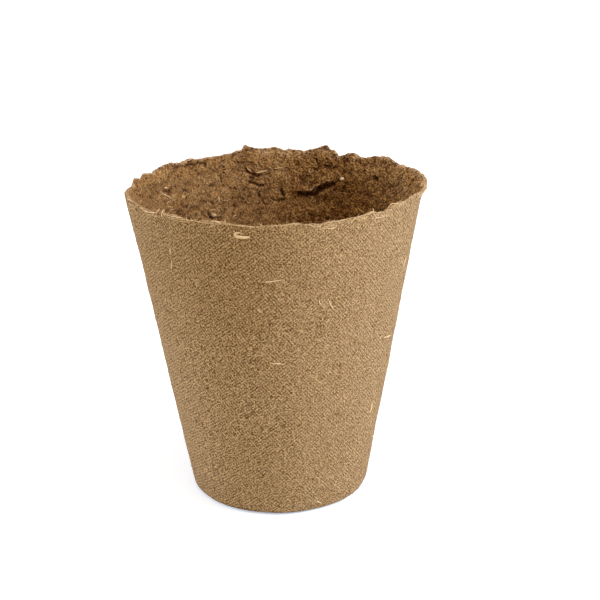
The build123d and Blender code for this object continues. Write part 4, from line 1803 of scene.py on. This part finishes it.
@dataclass
class LipStrands:
    """The strands that catch the light along the front of the torn edge."""

    shape: CupShape
    finish: bpy.types.Material
    sides: int = 5
    steps: int = 5  # rings for each stretch of a path
    slim: float = 0.8  # of each strand's width
    waver: float = 0.18 * MM
    waver_size: float = 0.9 * MM
    seed: int = 7  # of the waver

    STRANDS: ClassVar[tuple[Strand, ...]] = (
        Strand(0.28, 0.20, ((199.5, 86.7), (202.5, 86.9), (205.0, 86.9))),
        Strand(0.26, 0.20, ((212.6, 86.6), (214.6, 86.4), (218.2, 86.2))),
        Strand(
            0.26,
            0.25,
            ((215.6, 86.2), (218.2, 86.2), (220.9, 86.4), (223.1, 86.7), (224.8, 87.5), (225.9, 88.2)),
        ),
        Strand(0.22, 0.15, ((220.9, 86.3), (220.6, 85.6), (222.1, 85.4), (224.1, 85.8))),
        Strand(0.36, 0.25, ((226.3, 86.0), (226.7, 87.1), (227.8, 88.0), (228.4, 88.6))),
        Strand(0.20, 0.20, ((227.0, 86.8), (229.8, 87.0), (232.3, 86.8), (234.5, 86.9), (236.9, 87.1))),
        Strand(0.20, 0.15, ((228.4, 86.4), (231.4, 86.3), (234.4, 86.5), (237.8, 86.6), (241.1, 86.7))),
        Strand(0.18, 0.12, ((239.1, 86.6), (244.2, 86.5), (247.2, 86.5), (250.2, 86.5), (253.1, 86.7))),
        Strand(0.15, 0.10, ((252.1, 86.7), (255.9, 86.6), (260.3, 86.3), (264.1, 86.3), (266.8, 86.4))),
        Strand(0.20, 0.10, ((206.3, 85.4), (207.2, 84.2), (208.6, 83.3))),
        Strand(0.18, 0.10, ((238.9, 85.6), (240.9, 85.4), (242.9, 86.2))),
        Strand(0.38, 0.20, ((248.4, 87.3), (250.3, 87.1), (251.7, 86.9))),
        Strand(0.20, 0.10, ((253.5, 87.5), (253.7, 86.5))),
        Strand(0.20, 0.10, ((265.4, 87.5), (266.0, 86.4))),
        Strand(0.14, 0.10, ((268.0, 86.5), (272.2, 86.4), (274.8, 86.4), (277.5, 86.7), (280.2, 86.7))),
        Strand(0.22, 0.12, ((283.0, 86.5), (284.7, 85.5), (287.2, 85.0))),
        Strand(0.34, 0.18, ((287.6, 85.0), (289.6, 85.0), (291.3, 84.6), (292.8, 84.8), (293.6, 85.5))),
        Strand(0.16, 0.10, ((288.3, 86.2), (291.1, 86.4), (294.4, 86.4), (297.8, 86.6), (301.1, 86.7))),
        Strand(0.24, 0.20, ((310.4, 85.2), (308.9, 86.6), (308.0, 88.2))),
        Strand(0.26, 0.15, ((304.6, 86.5), (306.4, 86.8), (308.4, 87.2), (310.5, 86.6), (311.7, 86.5))),
        Strand(0.24, 0.10, ((315.7, 86.6), (316.8, 87.9), (319.5, 87.8), (323.0, 86.8), (326.6, 86.5))),
        Strand(0.20, 0.10, ((318.6, 86.9), (321.0, 86.8), (323.6, 86.0))),
        Strand(0.16, 0.15, ((123.6, 71.0), (120.9, 71.1), (119.2, 70.6)), True),
        Strand(0.20, 0.25, ((119.6, 70.1), (119.9, 69.3), (121.3, 69.2), (122.4, 69.9)), True),
    )

    def line(self, strand: Strand) -> np.ndarray:
        """Smoothed and wavering places along a strand.

        Args:
            strand: The strand.

        Returns:
            The points.
        """
        knots = np.array(strand.path)
        stations = np.linspace(0, len(knots) - 1, self.steps * (len(knots) - 1) + 1)
        turns, heights = (np.interp(stations, np.arange(len(knots)), part) for part in knots.T)
        soft = np.array((1.0, 2.0, 3.0, 2.0, 1.0)) / 9
        padded = [np.pad(part, 2, mode="edge") for part in (turns, heights)]
        turns, heights = (np.convolve(part, soft, "valid") for part in padded)
        heights = heights * MM
        lift = strand.lift * MM
        radius = self.shape.inner(heights) - lift if strand.inside else self.shape.outer(heights) + lift
        points = around(radius, np.radians(turns), heights)
        sway = np.array([noise.noise_vector(Vector(p / self.waver_size)) for p in points])
        return points + self.waver * sway

    def build(self) -> bpy.types.Object:
        """Build all the strands as one piece."""
        noise.seed_set(self.seed)
        points: list[np.ndarray] = []
        faces: list[tuple[int, ...]] = []
        for strand in self.STRANDS:
            line = self.line(strand)
            along = np.gradient(line, axis=0)
            along /= np.linalg.norm(along, axis=1, keepdims=True)
            off = line * (1.0, 1.0, 0.0)
            off /= np.linalg.norm(off, axis=1, keepdims=True)
            across = np.cross(off, along)
            taper = np.sin(np.linspace(0.12, 0.95, len(line)) * math.pi) ** 0.5
            taper *= 1.0 + 0.7 * np.array([noise.noise(Vector(p / self.waver_size)) for p in line])
            half = (0.5 * self.slim * strand.width * MM * taper)[:, None]
            corners = np.arange(self.sides) * TURN / self.sides
            ring = [half * (across * math.cos(t) + off * math.sin(t)) for t in corners]
            corners, skin = tube(line[:, None, :] + np.stack(ring, axis=1))
            start = sum(len(part) for part in points)
            points.append(corners)
            faces += [tuple(start + corner for corner in face) for face in skin]
        piece = new_piece("strands_of_lip", np.concatenate(points), faces)
        # Painted highlight: a strand is paler the further it stands off the felt, where it catches the
        # light, and darker where it lies close.
        tints = np.interp([strand.lift for strand in self.STRANDS], (0.1, 0.25), (0.1, 0.8))
        tints = np.repeat(tints, [len(part) for part in points])
        store(piece, "tint", "FLOAT", "POINT", tints.astype(np.float32))
        piece.data.materials.append(self.finish)
        piece.data.shade_smooth()
        return piece


@dataclass(frozen=True)
class Lamp:
    """A soft flat lamp that looks at the pot."""

    azimuth: float  # degrees, as is the elevation
    elevation: float
    distance: float
    wide: float
    tall: float
    power: float
    colour: tuple[float, float, float] = (1.0, 1.0, 1.0)


@dataclass
class Studio:
    """Pale floor, soft light and the camera."""

    target: tuple[float, float, float] = (6.486 * MM, 0.0, 53.378 * MM)
    distance: float = 423.92 * MM
    elevation: float = 19.041  # degrees, as is the roll
    roll: float = -1.006
    focal_pixels: float = 1540.25
    image_pixels: float = 600.0
    sensor: float = 36.0  # millimetres
    floor_side: float = 6.0
    floor_colour: Colour = (0.86, 0.86, 0.86, 1.0)
    floor_glow: float = 0.54
    glow_colour: Colour = (0.66, 0.80, 1.0, 1.0)  # evens out the sky's warmth in the shadow
    sky: float = 0.68
    sky_colour: Colour = (1.0, 0.81, 0.54, 1.0)
    lamps: tuple[Lamp, ...] = (
        Lamp(345.0, 38.0, distance=0.9, wide=0.5, tall=0.5, power=9.6, colour=(0.92, 1.05, 1.30)),
        Lamp(163.0, 10.5, distance=0.9, wide=0.5, tall=0.2, power=5.6, colour=(0.93, 1.06, 1.28)),
        Lamp(285.0, 60.0, distance=1.0, wide=0.7, tall=0.7, power=2.2, colour=(1.0, 0.81, 0.54)),
    )

    def light(self) -> None:
        """Make the lamps and the sky."""
        target = Vector(self.target)
        for i, lamp in enumerate(self.lamps):
            data = bpy.data.lights.new(f"lamp_{i}", "AREA")
            data.shape = "RECTANGLE"
            data.size = lamp.wide
            data.size_y = lamp.tall
            data.energy = lamp.power
            data.color = lamp.colour
            flat = lamp.distance * math.cos(math.radians(lamp.elevation))
            rise = lamp.distance * math.sin(math.radians(lamp.elevation))
            offset = Vector(around(flat, math.radians(lamp.azimuth), rise))
            item = bpy.data.objects.new(f"lamp_{i}", data)
            bpy.context.scene.collection.objects.link(item)
            turn = (-offset).to_track_quat("-Z", "Y").to_matrix().to_4x4()
            item.matrix_world = Matrix.Translation(target + offset) @ turn
        world = bpy.data.worlds.new("studio")
        bpy.context.scene.world = world
        world.use_nodes = True
        graph = Graph(world.node_tree)
        backdrop = world.node_tree.nodes["Background"]
        shown = self.shown(graph)
        graph.feed(backdrop.inputs, "Color", graph.mix(shown, self.sky_colour, WHITE))
        graph.feed(backdrop.inputs, "Strength", graph.between(shown, self.sky, 1.0))

    def shown(self, graph: Graph) -> Socket:
        """1 for rays that show the backdrop in the picture, in gloss or through glass."""
        path = graph.node("ShaderNodeLightPath").outputs
        gloss = graph.math("MAXIMUM", path["Is Glossy Ray"], path["Is Transmission Ray"])
        return graph.math("MAXIMUM", path["Is Camera Ray"], gloss)

    def floor(self) -> None:
        """Make the pale floor, which shows white and keeps the pot's shadow."""
        half = self.floor_side / 2
        corners = [(-half, -half, 0.0), (half, -half, 0.0), (half, half, 0.0), (-half, half, 0.0)]
        floor = new_piece("floor", corners, [(0, 1, 2, 3)])
        material, graph, paper = new_material("pale_floor")
        place = graph.node("ShaderNodeTexCoord").outputs["Object"]
        mottle = graph.ramp(graph.noise(place, 40.0, 3.0).outputs[0], 0.3, 0.7, 0.0, 0.03)
        graph.feed(paper, "Base Color", graph.mix(mottle, self.floor_colour, BLACK))
        graph.feed(paper, "Roughness", 0.9)
        graph.feed(paper, "Specular IOR Level", 0.0)
        graph.feed(paper, "Emission Color", self.glow_colour)
        glow = graph.math("MULTIPLY", self.shown(graph), self.floor_glow)
        graph.feed(paper, "Emission Strength", glow)
        floor.data.materials.append(material)

    def camera(self) -> None:
        """Make the camera at the photograph's view."""
        data = bpy.data.cameras.new("camera")
        data.sensor_width = self.sensor
        data.lens = self.focal_pixels / self.image_pixels * self.sensor
        camera = bpy.data.objects.new("camera", data)
        bpy.context.scene.collection.objects.link(camera)
        rise = math.radians(self.elevation)
        back = Vector((0.0, -math.cos(rise), math.sin(rise))) * self.distance
        roll = Matrix.Rotation(math.radians(self.roll), 4, "Z")
        turn = Matrix.Rotation(math.pi / 2 - rise, 4, "X") @ roll
        camera.matrix_world = Matrix.Translation(Vector(self.target) + back) @ turn
        bpy.context.scene.camera = camera

    def build(self) -> None:
        """Build the whole studio."""
        self.light()
        self.floor()
        self.camera()
        bpy.context.scene.view_settings.view_transform = "Standard"


def felt_finishes(shape: CupShape) -> dict[Face, bpy.types.Material]:
    """Materials of the felt's faces.

    Args:
        shape: The cup's sizes.

    Returns:
        A material for each face.
    """
    outside = {
        "shape": shape,
        "tan": (0.306, 0.178, 0.069, 1.0),
        "warm": (0.262, 0.142, 0.047, 1.0),
        "pale": (0.710, 0.508, 0.270, 1.0),
        "dark": (0.090, 0.036, 0.010, 1.0),
        "torn": (0.430, 0.295, 0.160, 1.0),
        "weave": 1.0,
        "grain": 1.0,
        "chaff": 0.8,
        "grain_size": 0.4,
        "crumbs": -0.4,
        "fibres": 0.5,
        "cracks": 0.6,
        "streak": (1.5, 0.18),
        "rarity": 0.6,
        "hollow_shade": 0.0,
        "relief": 0.10 * MM,
        "sheen": 0.03,
        # painted shade near the rim
        "fade": (0.88, 0.84, 0.75),
    }
    # The inside's colours are darker and more saturated than the outside's: partly the open felt's own
    # colour, partly painted shade standing in for the shade and bounced light inside the cup.
    inside = outside | {
        "tan": (0.290, 0.147, 0.051, 1.0),
        "warm": (0.205, 0.094, 0.028, 1.0),
        "pale": (0.650, 0.410, 0.174, 1.0),
        "dark": (0.050, 0.014, 0.002, 1.0),
        "torn": (0.640, 0.430, 0.255, 1.0),
        "weave": 0.0,
        "grain": 0.28,
        "chaff": 0.20,
        "grain_size": 0.52,
        "crumbs": 1.0,
        "fibres": 0.9,
        "cracks": 1.0,
        "streak": (3.6, 0.34),
        "rarity": 0.665,
        # painted shade in the hollows
        "hollow_shade": 0.85,
        "relief": 0.2 * MM,
        "sheen": 0.0,
        # painted shade near the rim
        "fade": (0.90, 0.90, 0.90),
    }
    return {
        Face.SIDE: FeltFinish("screen_felt", Layout.CONE, **outside).material(),
        Face.FOOT: FeltFinish("screen_felt_foot", Layout.FLAT, **outside).material(),
        Face.HOLLOW: FeltFinish("open_felt", Layout.CONE, **inside).material(),
        Face.FLOOR: FeltFinish("open_felt_floor", Layout.FLAT, **inside).material(),
    }


def joined_copy(pieces: list[bpy.types.Object]) -> bpy.types.Object:
    """One mesh of copies of pieces, for bits to lie on, to be removed after use.

    Args:
        pieces: The pieces.

    Returns:
        The object.
    """
    copies = []
    for piece in pieces:
        twin = piece.copy()
        twin.data = piece.data.copy()
        bpy.context.scene.collection.objects.link(twin)
        copies.append(twin)
    with bpy.context.temp_override(active_object=copies[0], selected_editable_objects=copies):
        bpy.ops.object.join()
    return copies[0]


def main() -> None:
    """Build the pot and the studio, and report each piece."""
    logging.basicConfig(level=logging.INFO, format="%(name)s %(message)s")
    shape = CupShape.from_frame()
    wood, fibre, split, bark = (finish.material() for finish in WOODS)

    cup = FeltCup(shape)
    felts = cup.build()
    felts["folded_flap"] = FoldedFlap(shape).build()
    FeltRelief(felt_finishes(shape)).give(list(felts.values()))
    for node, piece in felts.items():
        hand_over(piece, "peat_felt", node)
    felt = joined_copy(list(felts.values()))

    laid = (
        LaidBits(
            shape, "outer_slivers", "slivers_outside", "pale_wood", BitForm.SPLINTER, wood,
            slim=(1.0, 0.6, 1.0), wander=0.5 * MM, seed=2,
        ),
        LaidBits(
            shape, "inner_slivers", "slivers_inside", "pale_wood", BitForm.SPLINTER, fibre,
            slim=(1.0, 0.9, 1.0), seed=3,
        ),
        LaidBits(
            shape, "wood_chip", "grain_of_wood", "pale_wood", BitForm.GRAIN, split,
            slim=(1.0, 1.0, 1.2),
        ),
        LaidBits(
            shape, "rim_fibres", "strands_of_rim", "raw_fibre", BitForm.STRAND, fibre,
            slim=(1.0, 0.9, 1.2), seed=5,
        ),
        LaidBits(
            shape, "bark_flecks", "flecks_of_bark", "bark", BitForm.FLAKE, bark,
            slim=(0.8, 0.7, 0.6), seed=6,
        ),
    )
    for bits in laid:
        hand_over(bits.build(felt), bits.slot, bits.node)
    hand_over(CurledShaving(shape, wood).build(), "pale_wood", "curled_shaving")
    hand_over(LipStrands(shape, wood).build(), "raw_fibre")

    hairs = (
        FeltHair("hairs_outside", Face.SIDE, fibre, 7e4, (0.6 * MM, 2.4 * MM), (0.06 * MM, 0.14 * MM),
                 0.35 * MM, 0.9 * MM, 1.0, seed=11),
        FeltHair("hairs_inside", Face.HOLLOW, fibre, 4e4, (0.8 * MM, 3.8 * MM), (0.08 * MM, 0.22 * MM),
                 0.6 * MM, 1.5 * MM, 1.3, seed=23),
    )
    for hair in hairs:
        hand_over(hair.build(felt), "raw_fibre")
    edge = cup.edge_points(felts["rim_deckle"])
    frays = (
        RimFray("fuzz_of_rim", fibre, 0.3, (0.5 * MM, 1.6 * MM), (0.06 * MM, 0.13 * MM), 0.9, 0.9,
                0.4 * MM, 0.8 * MM, (0.0, 0.0), seed=31),
        RimFray("strands_along_rim", fibre, 0.03, (1.2 * MM, 4.0 * MM), (0.12 * MM, 0.22 * MM), 0.25,
                0.20, 0.6 * MM, 1.3 * MM, (0.12 * MM, 0.03 * MM), seed=47),
    )
    for fray in frays:
        hand_over(fray.build(edge), "raw_fibre")
    bpy.data.objects.remove(felt)
    Studio().build()


if __name__ == "__main__":
    main()
